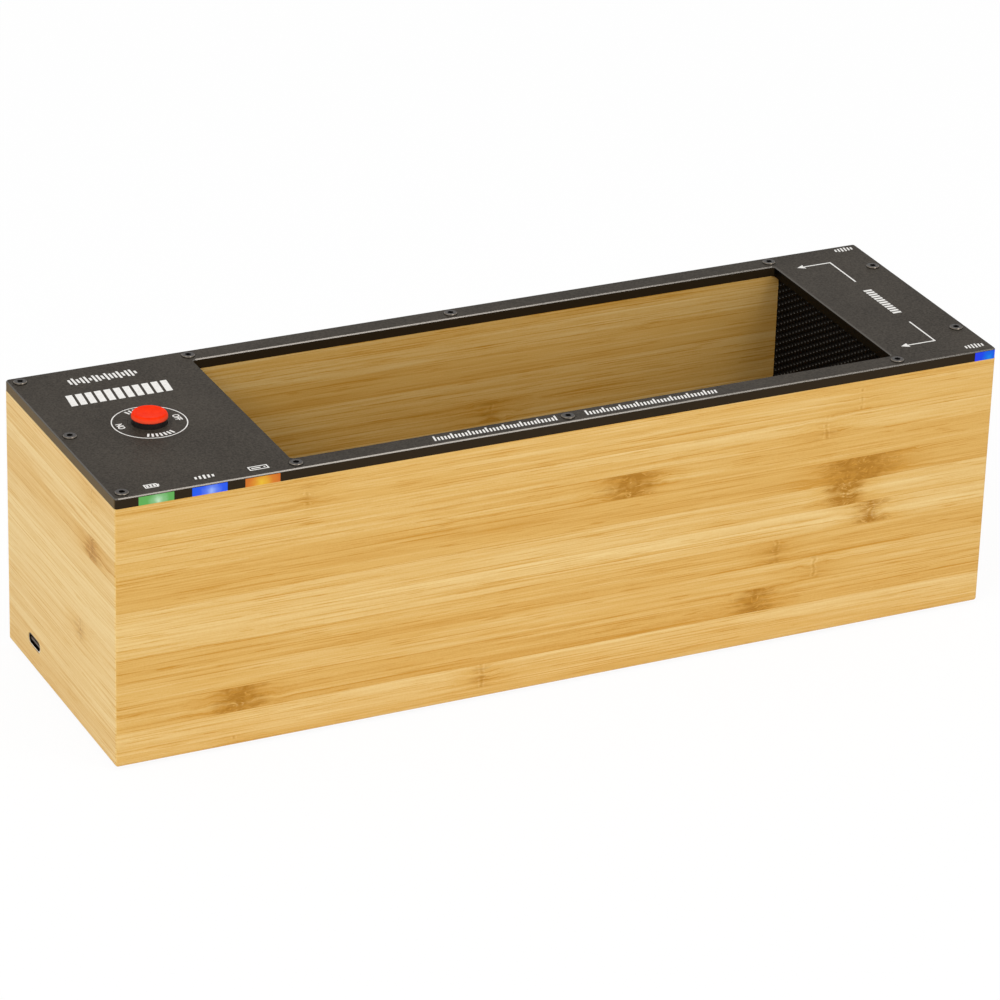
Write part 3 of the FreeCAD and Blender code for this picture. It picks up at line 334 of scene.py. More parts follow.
# turn lays the grain along X and the strips' edges along Z; seamMm is one glue line in the row's millimetres;
# tones and knots count strips from there, and a knot is (place along the grain, strip, half width, strength)
panelLooks = {
    "front_panel": {
        "turn": (0, 0, 0),
        "seamMm": -3.05,
        "tones": (0.51, 0.66, 0.45, 0.55, 0.47, 0.72, 0.64, 0.43, 0.47, 0.58, 0.54, 0.51),
        "knots": (
            (-79, 10, 5, 0.5),
            (80, 9, 5, 0.5),
            (91, 10, 5, 0.4),
            (19.3, 8, 6.5, 0.95),
            (92, 7, 8.5, 1.0),
            (87.7, 6, 4.5, 0.95),
            (96, 5, 5.5, 0.8),
            (66, 4, 4, 0.65),
            (78.5, 3, 5.5, 0.5),
            (60.2, 2, 5.5, 0.85),
            (-98.2, 2, 6, 0.95),
            (-25.7, 1, 4, 0.6),
            (-99.8, 0, 5, 0.4),
        ),
        "seed": 0.0,
    },
    "back_panel": {
        "turn": (0, 0, 0),
        "seamMm": -4.1,
        "tones": (0.55, 0.46, 0.60, 0.50, 0.44, 0.56, 0.66, 0.48, 0.54, 0.45, 0.59, 0.52),
        "knots": (
            (-102, 9, 5, 0.8),
            (-46, 3, 7, 0.9),
            (12, 7, 5, 0.6),
            (58, 5, 6, 0.8),
            (-70, 6, 5, 0.5),
            (33, 1, 6, 0.8),
        ),
        "seed": 3.7,
    },
    "left_end_panel": {
        "turn": (0, 0, -90),
        "seamMm": -2.1,
        # this end's tones sit higher than the other panels': partly painted light for the brighter left end,
        # over the strips' own differences
        "tones": (0.66, 0.70, 0.80, 0.76, 0.82, 0.88, 0.85, 0.76, 0.62, 0.78, 0.70, 0.76),
        "knots": ((-24.5, 10, 4, 0.4), (-24.5, 8, 5, 0.8), (-15.1, 4, 5, 0.6)),
        "seed": 7.1,
    },
    "right_end_panel": {
        "turn": (0, 0, -90),
        "seamMm": -1.4,
        "tones": (0.58, 0.50, 0.62, 0.54, 0.64, 0.56, 0.50, 0.61, 0.55, 0.64, 0.58, 0.55),
        "knots": ((8, 9, 5, 0.8), (-18, 5, 6, 0.7), (21, 2, 5, 0.9)),
        "seed": 11.3,
    },
    "bottom_panel": {
        "turn": (90, 0, 0),
        "seamMm": -42.0,
        "tones": (0.50, 0.57, 0.46, 0.58, 0.52, 0.47, 0.56, 0.50, 0.53, 0.47, 0.52, 0.50),
        "knots": ((-60, 2, 6, 0.7), (48, 7, 6, 0.8)),
        "seed": 15.9,
    },
}


def stretchedNoise(tree, point, lengthMm, heightMm, detail=2.0, bend=0.0):  # streaks, around zero
    scale = (1 / lengthMm, 1, 1 / heightMm)
    scaled = addNode(tree, "VectorMath", (point, scale), operation="MULTIPLY").outputs[0]
    sockets = {"Vector": scaled, "Scale": 1.0, "Detail": detail, "Distortion": bend}
    noise = addNode(tree, "TexNoise", sockets).outputs["Fac"]
    return addNode(tree, "Math", (noise, 0.5), operation="SUBTRACT").outputs[0]


def makeBamboo(name, look):
    looks = {"Roughness": 0.5, "IOR": 1.5, "Specular IOR Level": 0.3}
    material, tree, shader, point = startMaterial("lacqueredBamboo_" + name, looks, look["turn"])
    soft = {"interpolation_type": "SMOOTHSTEP"}
    along, _, up = addNode(tree, "SeparateXYZ", [point]).outputs

    # which strip a point is in; the glue lines wander a little
    length, height, reach = bamboo["wanderMm"]
    seeded = addNode(tree, "CombineXYZ", (along, look["seed"], up)).outputs[0]
    wander = stretchedNoise(tree, seeded, length, height)
    strips = addNode(tree, "Math", (wander, reach, up), operation="MULTIPLY_ADD").outputs[0]
    strips = addNode(tree, "Math", (strips, look["seamMm"]), operation="SUBTRACT").outputs[0]
    strips = addNode(tree, "Math", (strips, bamboo["stripMm"]), operation="DIVIDE").outputs[0]
    strip = addNode(tree, "Math", [strips], operation="FLOOR").outputs[0]
    within = addNode(tree, "Math", [strips], operation="FRACT").outputs[0]
    within = addNode(tree, "Math", (within, 0.5), operation="SUBTRACT").outputs[0]  # from its middle
    count = len(look["tones"])
    share = addNode(tree, "MapRange", (strip, -0.5, count - 0.5)).outputs[0]
    stops = [(at / count, tone) for at, tone in enumerate(look["tones"])]
    value = fillRamp(addNode(tree, "ValToRGB", [share]), stops, "CONSTANT")
    jump = addNode(tree, "Math", (strip, bamboo["jump"], look["seed"]), operation="MULTIPLY_ADD").outputs[0]

    # knots: each one marks its own strip, with streaky tails along the fibres and a ridge across its middle
    flat = addNode(tree, "CombineXYZ", (along, jump, up)).outputs[0]
    length, height, reach = knot["swayMm"]
    sway = stretchedNoise(tree, flat, length, height)
    sway = addNode(tree, "Math", (sway, reach, along), operation="MULTIPLY_ADD").outputs[0]
    apart = addNode(tree, "Math", (strip, knot["stripGap"]), operation="MULTIPLY").outputs[0]
    knotPoint = addNode(tree, "CombineXYZ", (sway, apart)).outputs[0]
    field, ridge = None, None
    for place, number, halfWidth, strength in look["knots"]:
        sockets = (knotPoint, (place, number * knot["stripGap"], 0))
        away = addNode(tree, "VectorMath", sockets, operation="DISTANCE").outputs["Value"]
        near = addNode(tree, "MapRange", (away, 0.0, halfWidth * knot["reach"], strength, 0.0)).outputs[0]
        if field:
            near = addNode(tree, "Math", (field, near), operation="MAXIMUM").outputs[0]
            away = addNode(tree, "Math", (ridge, away), operation="MINIMUM").outputs[0]
        field, ridge = near, away
    tails = stretchedNoise(tree, flat, *knot["tailMm"], 3.0)
    share = addNode(tree, "MapRange", (field, *knot["tails"]), **soft).outputs[0]
    field = addNode(tree, "Math", (tails, share, field), operation="MULTIPLY_ADD").outputs[0]
    field = addNode(tree, "Math", (field, 0.0), operation="MAXIMUM").outputs[0]
    crest = stretchedNoise(tree, flat, *knot["crestMm"])
    crest = addNode(tree, "MapRange", (crest, *knot["crest"]), **soft).outputs[0]
    crest = addNode(tree, "Math", (field, crest), operation="MULTIPLY").outputs[0]

    # fibres bend round the knots and break at each glue line
    length, height, reach = knot["bendMm"]
    bend = stretchedNoise(tree, flat, length, height)
    bend = addNode(tree, "Math", (bend, field), operation="MULTIPLY").outputs[0]
    bend = addNode(tree, "Math", (bend, reach, up), operation="MULTIPLY_ADD").outputs[0]
    fibrePoint = addNode(tree, "CombineXYZ", (along, jump, bend)).outputs[0]
    lean = addNode(tree, "TexWhiteNoise", {"W": jump}, noise_dimensions="1D").outputs["Value"]
    lean = addNode(tree, "Math", (lean, bamboo["lean"]), operation="MULTIPLY").outputs[0]
    value = addNode(tree, "Math", (within, lean, value), operation="MULTIPLY_ADD").outputs[0]
    for sizeMm, detail, amount in bamboo["fibres"]:
        pattern = stretchedNoise(tree, fibrePoint, *sizeMm, detail)
        value = addNode(tree, "Math", (pattern, amount, value), operation="MULTIPLY_ADD").outputs[0]
    value = addNode(tree, "Math", (field, knot["shade"], value), operation="MULTIPLY_ADD").outputs[0]

    # darker along glue lines, threads and flecks, and pale beside a knot's ridge
    glue = addNode(tree, "Math", [within], operation="ABSOLUTE").outputs[0]
    shades = [(glue, *bamboo["glue"])]
    for sizeMm, start, full, shade in bamboo["threads"]:
        shades.append((stretchedNoise(tree, fibrePoint, *sizeMm), start, full, 0.0, shade))
    for sockets in shades:
        shade = addNode(tree, "MapRange", sockets, **soft).outputs[0]
        value = addNode(tree, "Math", (value, shade), operation="ADD").outputs[0]
    beside = addNode(tree, "Math", (ridge, knot["paleAtMm"]), operation="SUBTRACT").outputs[0]
    beside = addNode(tree, "Math", [beside], operation="ABSOLUTE").outputs[0]
    beside = addNode(tree, "MapRange", (beside, *knot["pale"]), **soft).outputs[0]
    value = addNode(tree, "Math", (crest, beside, value), operation="MULTIPLY_ADD").outputs[0]
    stops = zip(bamboo["ramp"], (bamboo["darkHex"], bamboo["middleHex"], bamboo["lightHex"]))
    wood = fillRamp(addNode(tree, "ValToRGB", [value]), list(stops))

    # the dark heart of a knot, with light wavy lines through it, and the dark line of the ridge
    heart = addNode(tree, "MapRange", (field, *knot["heart"]), **soft).outputs[0]
    blotch = stretchedNoise(tree, flat, *knot["blotchMm"], 3.0)
    blotch = addNode(tree, "MapRange", (blotch, *knot["blotches"])).outputs[0]
    wavy = stretchedNoise(tree, fibrePoint, *knot["waveMm"], 1.5, 0.5)
    wavy = addNode(tree, "Math", [wavy], operation="ABSOLUTE").outputs[0]
    wavy = addNode(tree, "MapRange", (wavy, *knot["waves"]), **soft).outputs[0]
    for part in (blotch, wavy):
        heart = addNode(tree, "Math", (heart, part), operation="MULTIPLY").outputs[0]
    ridge = addNode(tree, "MapRange", (ridge, *knot["ridge"]), **soft).outputs[0]
    ridge = addNode(tree, "Math", (crest, ridge), operation="MULTIPLY").outputs[0]
    heart = addNode(tree, "Math", (heart, ridge), operation="MAXIMUM").outputs[0]
    sockets = {"Factor": heart, mixA: wood, mixB: hexColour(bamboo["knotHex"])}
    mixed = addNode(tree, "Mix", sockets, data_type="RGBA").outputs[mixResult]
    tree.links.new(mixed, shader.inputs["Base Color"])

    relief = addNode(tree, "Math", (value, heart), operation="SUBTRACT").outputs[0]
    sockets = {"Height": relief, "Distance": bamboo["reliefMm"] * mm, "Strength": 0.5}
    tree.links.new(addNode(tree, "Bump", sockets).outputs["Normal"], shader.inputs["Normal"])
    return material


for panelName, panelLook in panelLooks.items():
    dressNodes(makeBamboo(panelName, panelLook), panelName)
print("bamboo made")

# top plate: aluminium, bead blasted and black anodised. It gives a matt fine-grained dark face, upright sides
# painted darker as shade, and a top-edge bevel of bare glossy metal, painted lighter as a highlight
plateLook = {
    "darkHex": "#2A251F",
    "lightHex": "#48423A",
    "grainMm": 0.6,
    "cloudMm": 26,
    "cloudShare": 0.25,
    "ramp": (0.34, 0.66),  # places of the dark and the light
    "reliefMm": 0.03,
    # painted shade on the upright sides, and a painted highlight on the bevel
    "paintedShadeSideHex": "#2B2113",
    "paintedHighlightBevelHex": "#5E5A55",
    "bareRoughness": 0.24,
    # the left end's outer side gets painted light, the opening's right end painted shade
    "leftEndHex": "#604F33",
    "leftEndMm": (-130, -125),  # along X: full up to the first, gone from the second
    "innerEndHex": "#050403",
    "innerEndMm": (100, 95),
}


def makeAnodised():
    looks = {"Roughness": 0.5, "IOR": 1.5, "Specular IOR Level": 0.065}
    material, tree, shader, point = startMaterial("blackAnodisedAluminium", looks)
    sockets = {"Vector": point, "Scale": 1 / plateLook["grainMm"], "Detail": 2.0, "Roughness": 0.7}
    grain = addNode(tree, "TexNoise", sockets).outputs["Fac"]
    sockets = {"Vector": point, "Scale": 1 / plateLook["cloudMm"], "Detail": 2.0}
    clouds = addNode(tree, "TexNoise", sockets).outputs["Fac"]
    sockets = {"Factor": plateLook["cloudShare"], "A": grain, "B": clouds}
    ramp = addNode(tree, "ValToRGB", [addNode(tree, "Mix", sockets).outputs[0]])
    dark, light = plateLook["ramp"]
    colour = fillRamp(ramp, [(dark, plateLook["darkHex"]), (light, plateLook["lightHex"])])
    tree.links.new(colour, shader.inputs["Base Color"])
    # upright faces get the painted shade, the 45 degree bevel the painted highlight
    tints = ((0.0, 0.3, plateLook["paintedShadeSideHex"]), (0.707, 0.15, plateLook["paintedHighlightBevelHex"]))
    tintSlopes(material, "Z", tints, plateLook["bareRoughness"])
    # painted light on the left end's outer side, paler and warmer, and painted shade on the opening's right
    # end, deep black
    for end in ("leftEnd", "innerEnd"):
        tint = (-1.0, 0.3, plateLook[end + "Hex"])
        tintSlopes(material, "X", [tint], fadeMm=("X", *plateLook[end + "Mm"]))
    sockets = {"Height": grain, "Distance": plateLook["reliefMm"] * mm, "Strength": 0.5}
    tree.links.new(addNode(tree, "Bump", sockets).outputs["Normal"], shader.inputs["Normal"])
    return material


dressNodes(makeAnodised(), "top_plate", "switch_collar")

# light windows: coloured acrylic, saw cut and lit from inside. It gives an even satin glow, brightest in
# front of the diode. "core" is that place, in mm along the plate, and the hexes run outwards from it
windowLooks = {
    "green_window": {
        "core": 12.3,
        "reachMm": 5.4,
        "bodyHex": "#0B1C0C",
        "hexes": ("#C4E6C1", "#8FC48A", "#65AF5A", "#64AF58"),
    },
    "blue_window": {
        "core": 27.5,
        "reachMm": 5.6,
        "bodyHex": "#060E22",
        "hexes": ("#9DB7FC", "#6687F4", "#305DF1", "#205CF0"),
    },
    "amber_window": {
        "core": 42.0,
        "reachMm": 6.0,
        "bodyHex": "#221005",
        "hexes": ("#F0C63A", "#E5A635", "#DA7F2C", "#C96527"),
    },
}
cornerLook = {
    "core": 265.7,
    "reachMm": 4.6,
    "bodyHex": "#050A1E",
    "hexes": ("#0E83EA", "#1069E5", "#1A46EC", "#2A3CEE"),
}
diode = {
    "upMm": 0.7,  # above the windows' lower edge
    "strength": 0.95,
    "evenMm": 0.8,  # no change of colour up to here
    "mottleMm": 1.25,
    "mottleReachMm": 1.6,
    "places": (0.0, 0.25, 0.55, 1.0),  # of the four hexes
}


def makeLitWindow(name, look):
    looks = {"Base Color": hexColour(look["bodyHex"]), "Roughness": 0.5, "Specular IOR Level": 0.08}
    looks["Emission Strength"] = diode["strength"]
    material, tree, shader, point = startMaterial("litAcrylic_" + name, looks)
    core = (onPlate(look["core"], 0).x / mm, 0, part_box("green_window")[0].z / mm + diode["upMm"])
    flat = addNode(tree, "VectorMath", (point, (1, 0, 1)), operation="MULTIPLY").outputs[0]
    away = addNode(tree, "VectorMath", (flat, core), operation="DISTANCE").outputs["Value"]
    sockets = {"Vector": point, "Scale": 1 / diode["mottleMm"], "Detail": 2.0}
    mottle = addNode(tree, "TexNoise", sockets).outputs["Fac"]
    sockets = (mottle, diode["mottleReachMm"], away)
    mottled = addNode(tree, "Math", sockets, operation="MULTIPLY_ADD").outputs[0]
    sockets = (mottled, diode["evenMm"], look["reachMm"] + diode["evenMm"])
    ramp = addNode(tree, "ValToRGB", [addNode(tree, "MapRange", sockets).outputs[0]])
    glow = fillRamp(ramp, list(zip(diode["places"], look["hexes"])))
    tree.links.new(glow, shader.inputs["Emission Color"])
    return material


for windowName, windowLook in windowLooks.items():
    dressNodes(makeLitWindow(windowName, windowLook), windowName)
dressNodes(makeLitWindow("corner_windows", cornerLook), "front_corner_window", "rear_corner_window")
print("plate and light windows made")

# moulded nylon: even black, satin, with a fine spark-eroded texture
blackNylon = grainyMaterial(
    "blackMouldedNylon", "#0E0B0B", "#1C1817", 0.4, {"Roughness": 0.4, "IOR": 1.53}, 0.01
)
# the same nylon in dark brown, a little duller
brownNylon = grainyMaterial(
    "darkBrownNylon", "#33261B", "#4A3929", 0.4, {"Roughness": 0.5, "IOR": 1.53}, 0.01
)
# solder mask over copper: glossy green with a faint cloudiness
solderMask = grainyMaterial("greenSolderMask", "#0C3B1E", "#16522C", 2.4, {"Roughness": 0.35, "IOR": 1.55})
# cast resin of a diode: milky white, satin
milkyResin = grainyMaterial("milkyResin", "#D8D6CE", "#F1F0EA", 0.6, {"Roughness": 0.3, "IOR": 1.5})
# nickel on drawn steel: bright, with fine lines along the draw
nickelSteel = grainyMaterial(
    "nickelPlatedSteel", "#B4B1AB", "#E2DFD9", 0.3, {"Metallic": 1.0, "Roughness": 0.27}, 0.005, (0.1, 1, 1)
)
# the same steel painted dull dark brown as shade inside the slot, with a painted pale highlight along the
# lower lip
paintedShadeSteel = grainyMaterial(
    "platedSteelPaintedShadeAndLip", "#2E251B", "#4A3D2E", 0.3, {"Metallic": 1.0, "Roughness": 0.4}, 0.005
)
# painted highlight along the lower lip of the shell's mouth
lip = {"hex": "#E6DCCB", "fadeMm": ("Z", 8.9, 10.4)}
tintSlopes(paintedShadeSteel, "X", [(-1.0, 0.3, lip["hex"])], fadeMm=lip["fadeMm"])
# lacquered pressed steel: black, smooth satin
blackSteel = grainyMaterial(
    "blackLacqueredSteel", "#141312", "#24221F", 1.2, {"Roughness": 0.35, "IOR": 1.5}, 0.01
)
# sintered ferrite: dull charcoal with a gritty skin
ferrite = grainyMaterial("sinteredFerrite", "#2A2927", "#3A3836", 0.8, {"Roughness": 0.7}, 0.02)
# pressed paper pulp: black, fibrous and dull
paperCone = grainyMaterial("pressedPaperPulp", "#191816", "#2C2A27", 0.9, {"Roughness": 0.88}, 0.08)
# shrink film over a cell: blue, glossy, slightly rippled
shrinkFilm = grainyMaterial(
    "blueShrinkFilm", "#16418F", "#1F55B0", 6, {"Roughness": 0.25, "IOR": 1.5}, 0.05
)
# stained fibre board: black and dull, with long fibres
stainedBoard = grainyMaterial(
    "stainedFibreBoard", "#0C0A09", "#181412", 1.0, {"Roughness": 0.85}, 0.03, (0.3, 1, 1)
)
# bare bamboo ply: pale brown and dull, with long fibres
bareBamboo = grainyMaterial(
    "bareBambooPly", "#AD8448", "#CDA767", 1.2, {"Roughness": 0.75}, 0.03, (0.05, 1, 1)
)

dressNodes(solderMask, "control_board", "front_led_board", "side_led_board")
dressNodes(milkyResin, "front_leds", "side_leds")
dressNodes(blackNylon, "switch_body", "button_plunger", "board_chips", "board_sockets", "board_spacers")
dressNodes(brownNylon, "usb_tongue")
dressNodes(nickelSteel, "switch_lugs", "switch_nut", "speaker_screws", "board_screws")
dressNodes(nickelSteel, "board_capacitors")
dressNodes(paintedShadeSteel, "usb_shell")
dressNodes(blackSteel, "left_speaker_basket", "right_speaker_basket")
dressNodes(blackSteel, "left_speaker_yoke", "right_speaker_yoke")
dressNodes(ferrite, "left_speaker_magnet", "right_speaker_magnet")
dressNodes(paperCone, "left_speaker_cone", "right_speaker_cone")
dressNodes(shrinkFilm, "battery_cells")
dressNodes(stainedBoard, "left_baffle", "right_baffle")
dressNodes(bareBamboo, "floor_battens", "bay_floor")
print("inner parts dressed")

# push button: a red cap, slightly dished, on a black neck
button = {
    "capMm": 10.1,
    "sideMm": 1.55,
    "roundMm": (0.8, 1.2),  # the rim's rounding: inwards and down
    "roundSteps": 8,
    "footMm": 0.1,
    "dishMm": 0.3,
    "dishSteps": 6,
    "neckMm": 9.6,
    "neckBoreMm": 7.3,
    "neckLipMm": 0.15,
    "turnSteps": 72,
}


def makeButton():
    # moulded ABS: even red and satin, with painted light on the steep rim, made paler so it shows as bright
    # as the top
    looks = {"Roughness": 0.4, "IOR": 1.53, "Specular IOR Level": 0.02}
    redAbs = grainyMaterial("redMouldedAbs", "#F62D06", "#FB370B", 1.6, looks, 0.01)
    tintSlopes(redAbs, "Z", [(0.0, 0.85, "#FF5536")])
    low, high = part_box("button_cap")
    middle = (low + high) / 2
    radius, side, foot = button["capMm"] / 2, button["sideMm"], button["footMm"]
    inwards, down = button["roundMm"]
    profile = [(0, 0), (radius - foot, 0), (radius, foot)]
    for step in range(button["roundSteps"] + 1):
        angle = math.pi / 2 * step / button["roundSteps"]
        across = radius - inwards * (1 - math.cos(angle))
        profile.append((across, side - down * (1 - math.sin(angle))))
    for step in range(1, button["dishSteps"] + 1):  # a shallow dish, deepest in the middle
        share = 1 - step / button["dishSteps"]
        profile.append((share * (radius - inwards), side - button["dishMm"] * (1 - share**2)))
    bm = bmesh.new()
    spinProfile(bm, profile, button["turnSteps"], Vector((middle.x, middle.y, low.z)))
    addPiece("redButtonCap", bm, redAbs, "button", ("button_cap",), 50)

    low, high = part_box("button_neck")
    neck, bore, lip = button["neckMm"] / 2, button["neckBoreMm"] / 2, button["neckLipMm"]
    height = (high.z - low.z) / mm
    profile = [(bore, 0), (neck - lip, 0), (neck, lip), (neck, height - lip), (neck - lip, height)]
    profile += [(bore, height), (bore, 0)]
    bm = bmesh.new()
    spinProfile(bm, profile, button["turnSteps"], Vector((middle.x, middle.y, low.z)))
    addPiece("blackButtonNeck", bm, blackNylon, "button", ("button_neck",), 30)


# the button's return spring: a coil of round wire
spring = {"wireMm": 0.5, "wireSides": 10, "turns": 4, "turnSteps": 32}


def makeSpring():
    low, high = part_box("return_spring")
    foot = Vector(((low.x + high.x) / 2, (low.y + high.y) / 2, low.z))
    thick, steps = spring["wireMm"] / 2 * mm, spring["turns"] * spring["turnSteps"]
    bm = bmesh.new()
    ring = bmesh.ops.create_circle(bm, segments=spring["wireSides"], radius=thick)["verts"]
    bmesh.ops.rotate(bm, verts=ring, cent=(0, 0, 0), matrix=Matrix.Rotation(math.pi / 2, 3, "X"))
    bmesh.ops.translate(bm, verts=ring, vec=((high.x - low.x) / 2 - thick, 0, thick))
    bmesh.ops.spin(
        bm,
        geom=bm.verts[:] + bm.edges[:],
        cent=(0, 0, 0),
        axis=(0, 0, 1),
        dvec=(0, 0, (high.z - low.z - 2 * thick) / steps),
        angle=math.tau * spring["turns"],
        steps=steps,
    )
    bmesh.ops.holes_fill(bm, edges=[edge for edge in bm.edges if edge.is_boundary])
    bmesh.ops.recalc_face_normals(bm, faces=bm.faces[:])
    bmesh.ops.translate(bm, verts=bm.verts[:], vec=foot)
    coil = addPiece("buttonReturnSpring", bm, nickelSteel, "case", ("return_spring",), 60)
    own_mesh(coil)


makeButton()
makeSpring()
print("button and spring made")

# plate screws: raised countersunk heads with a hex socket, and ring threads
screw = {
    "headMm": 3.8,  # leaves a dark gap inside the plate's countersink
    "rimMm": 0.2,
    "domeMm": 0.4,
    "socketMm": 1.6,
    "socketMouth": 1.25,  # the round mouth that the socket is cut in, by its flats
    "socketDeepMm": 0.7,
    "shankMm": 2.2,
    "lengthMm": 10.9,
    "pointMm": 3.0,
    "pitchMm": 0.9,
    "root": (0.78, 0.35),  # foot of the thread: share of the shank, place in the pitch
    "tip": (0.6, 0.5),  # start of the point: share of the shank, mm below the last thread
    "steps": 24,
    "twist": 0.7,  # turn from one screw to the next, so that their sockets differ
    "insetMm": 3.25,
    "sideInsetMm": 17.2,
    "columnsMm": (3.25, 53.1, 134.0, 237.5),
}


def makeScrews():
    # black oxide on steel: near black and satin, with painted shade on the upright side of each head and a
    # painted highlight on its rim, which is bare glossy metal besides
    looks = {"Metallic": 0.3, "Roughness": 0.4}
    blackOxide = grainyMaterial("blackOxideSteel", "#241F1B", "#332D28", 0.4, looks)
    tintSlopes(blackOxide, "Z", ((0.0, 0.4, "#0E0B09"), (0.707, 0.2, "#6E665C")), 0.3)
    head, flats, shank = screw["headMm"] / 2, screw["socketMm"] / 2, screw["shankMm"] / 2
    rim, dome = screw["rimMm"], screw["domeMm"]
    profile = [(flats * screw["socketMouth"], dome), (head - rim, dome), (head, dome - rim), (head, 0)]
    depth = shank - head
    profile.append((shank, depth))
    (rootShare, rootAt), (tipShare, tipBelow) = screw["root"], screw["tip"]
    while depth > screw["pointMm"] - screw["lengthMm"]:
        depth -= screw["pitchMm"]
        profile += [(shank * rootShare, depth + screw["pitchMm"] * rootAt), (shank, depth)]
    profile += [(shank * tipShare, depth - tipBelow), (0, -screw["lengthMm"])]
    bm = bmesh.new()
    spinProfile(bm, profile, screw["steps"])
    mouth = [edge for edge in bm.edges if edge.is_boundary]
    for vert in {vert for edge in mouth for vert in edge.verts}:  # the round mouth becomes a hexagon
        fold = (math.atan2(vert.co.y, vert.co.x) + math.tau) % (math.pi / 3) - math.pi / 6
        vert.co.xy = vert.co.xy.normalized() * flats * mm / math.cos(fold)
    walls = bmesh.ops.extrude_edge_only(bm, edges=mouth)["geom"]
    bmesh.ops.translate(bm, verts=vertsOf(walls), vec=(0, 0, -screw["socketDeepMm"] * mm))
    bmesh.ops.holes_fill(bm, edges=[edge for edge in bm.edges if edge.is_boundary])
    bmesh.ops.recalc_face_normals(bm, faces=bm.faces[:])

    length, width = ((plateHigh - plateLow) / mm).xy
    near, sideNear = screw["insetMm"], screw["sideInsetMm"]
    places = [(across, inwards) for across in screw["columnsMm"] for inwards in (near, width - near)]
    places += [(near, width / 2), (length - near, sideNear), (length - near, width - sideNear)]
    turns = [number * screw["twist"] for number in range(len(places))]
    copyTo(bm, [onPlate(*place) for place in places], turns)
    addPiece("plateScrews", bm, blackOxide, "case", ("plate_screws",), 30)


makeScrews()
print("screws made")

# speaker grilles: steel sheet punched on a 60 degree stagger, with rolled hole rims
grille = {"pitchMm": 2.1, "holeMm": 1.3, "rimMm": 0.2, "rimDeepMm": 0.16, "sides": 12}


def makeGrille(name, node, facesRight, material):
    low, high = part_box(node)
    thick, width, height = (high - low) / mm
    pitch, hole = grille["pitchMm"], grille["holeMm"] / 2
    corner, columnStep = pitch / math.sqrt(3), pitch * math.sqrt(3) / 2
    bm = bmesh.new()

    # one cell: rings from its hexagonal edge in to the hole, through the sheet and out again
    rings = []
    for radius, depth in (
        (corner, 0),
        (hole + grille["rimMm"], 0),
        (hole, -grille["rimDeepMm"]),
        (hole, -thick),
        (corner, -thick),
    ):
        made = bmesh.ops.create_circle(bm, segments=grille["sides"], radius=radius * mm)["verts"]
        bmesh.ops.translate(bm, verts=made, vec=(0, 0, depth * mm))
        for vert in made if radius == corner else ():
            fold = (math.atan2(vert.co.y, vert.co.x) + math.tau) % (math.pi / 3)
            if abs(fold - math.pi / 6) < 0.1:  # every second point is the middle of a hexagon's side
                vert.co.xy *= pitch / 2 / corner
        rings.append([edge for edge in bm.edges if set(edge.verts) <= set(made)])
    for first, second in zip(rings, rings[1:]):
        bmesh.ops.bridge_loops(bm, edges=first + second)

    copyTo(bm, [Vector((0, row * pitch * mm, 0)) for row in range(int(height / pitch) + 3)])
    bmesh.ops.remove_doubles(bm, verts=bm.verts[:], dist=1e-6)
    columns = range(int(width / columnStep) + 3)
    copyTo(bm, [Vector((at * columnStep * mm, at % 2 * pitch / 2 * mm, 0)) for at in columns])
    bmesh.ops.remove_doubles(bm, verts=bm.verts[:], dist=1e-6)
    bmesh.ops.translate(bm, verts=bm.verts[:], vec=(-columnStep * mm, -pitch * mm, 0))
    corners = (Vector(), Vector((width * mm, height * mm, 0)))
    for place, normal in zip(corners * 2, ((-1, 0, 0), (1, 0, 0), (0, -1, 0), (0, 1, 0))):  # trim to size
        geometry = bm.verts[:] + bm.edges[:] + bm.faces[:]
        bmesh.ops.bisect_plane(
            bm, geom=geometry, dist=1e-7, plane_co=place, plane_no=normal, clear_outer=True
        )
    # stand it up: across is Y, up is Z, and the rolled rims face the bay
    outwards, face = (1, high.x) if facesRight else (-1, low.x)
    stand = Matrix(((0, 0, outwards, face), (1, 0, 0, low.y), (0, 1, 0, low.z), (0, 0, 0, 1)))
    bmesh.ops.transform(bm, verts=bm.verts[:], matrix=stand)
    bmesh.ops.recalc_face_normals(bm, faces=bm.faces[:])
    addPiece(name, bm, material, "case", (node,), 30)


# powder coat on steel: black and dull, thin on the walls of the holes, with a painted grey highlight on the
# upward-facing bottom wall of each one
powderCoat = grainyMaterial(
    "blackPowderCoat", "#040303", "#0A0706", 0.35, {"Roughness": 0.6, "Specular IOR Level": 0.06}, 0.01
)
tintSlopes(powderCoat, "X", [(0.0, 0.4, "#201D1A")])
# painted highlight on the faces that point up
tintSlopes(powderCoat, "Z", [(0.9, 0.25, "#69645D")])
makeGrille("leftSpeakerGrille", "left_grille", True, powderCoat)
makeGrille("rightSpeakerGrille", "right_grille", False, powderCoat)
print("grilles made")

foamPad = {"edgeMm": 0.6, "edgeSteps": 3}
rubberFoot = {"widthMm": 10.0, "edgeMm": 0.35, "steps": 48}


def makePad():
    # closed-cell foam: black and dull, with fine open pores on its cut face
    foam = grainyMaterial("blackEvaFoam", "#0D0D0D", "#232222", 0.7, {"Roughness": 0.92, "IOR": 1.4}, 0.25)
    low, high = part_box("bay_pad")
    bm = bmesh.new()
    bmesh.ops.create_cube(bm, size=1)
    bmesh.ops.scale(bm, verts=bm.verts[:], vec=high - low)
    softenEdges(bm, bm.edges[:], foamPad["edgeMm"], foamPad["edgeSteps"])
    bmesh.ops.translate(bm, verts=bm.verts[:], vec=(low + high) / 2)
    pad = addPiece("bayFoamPad", bm, foam, "case", ("bay_pad",), 60)


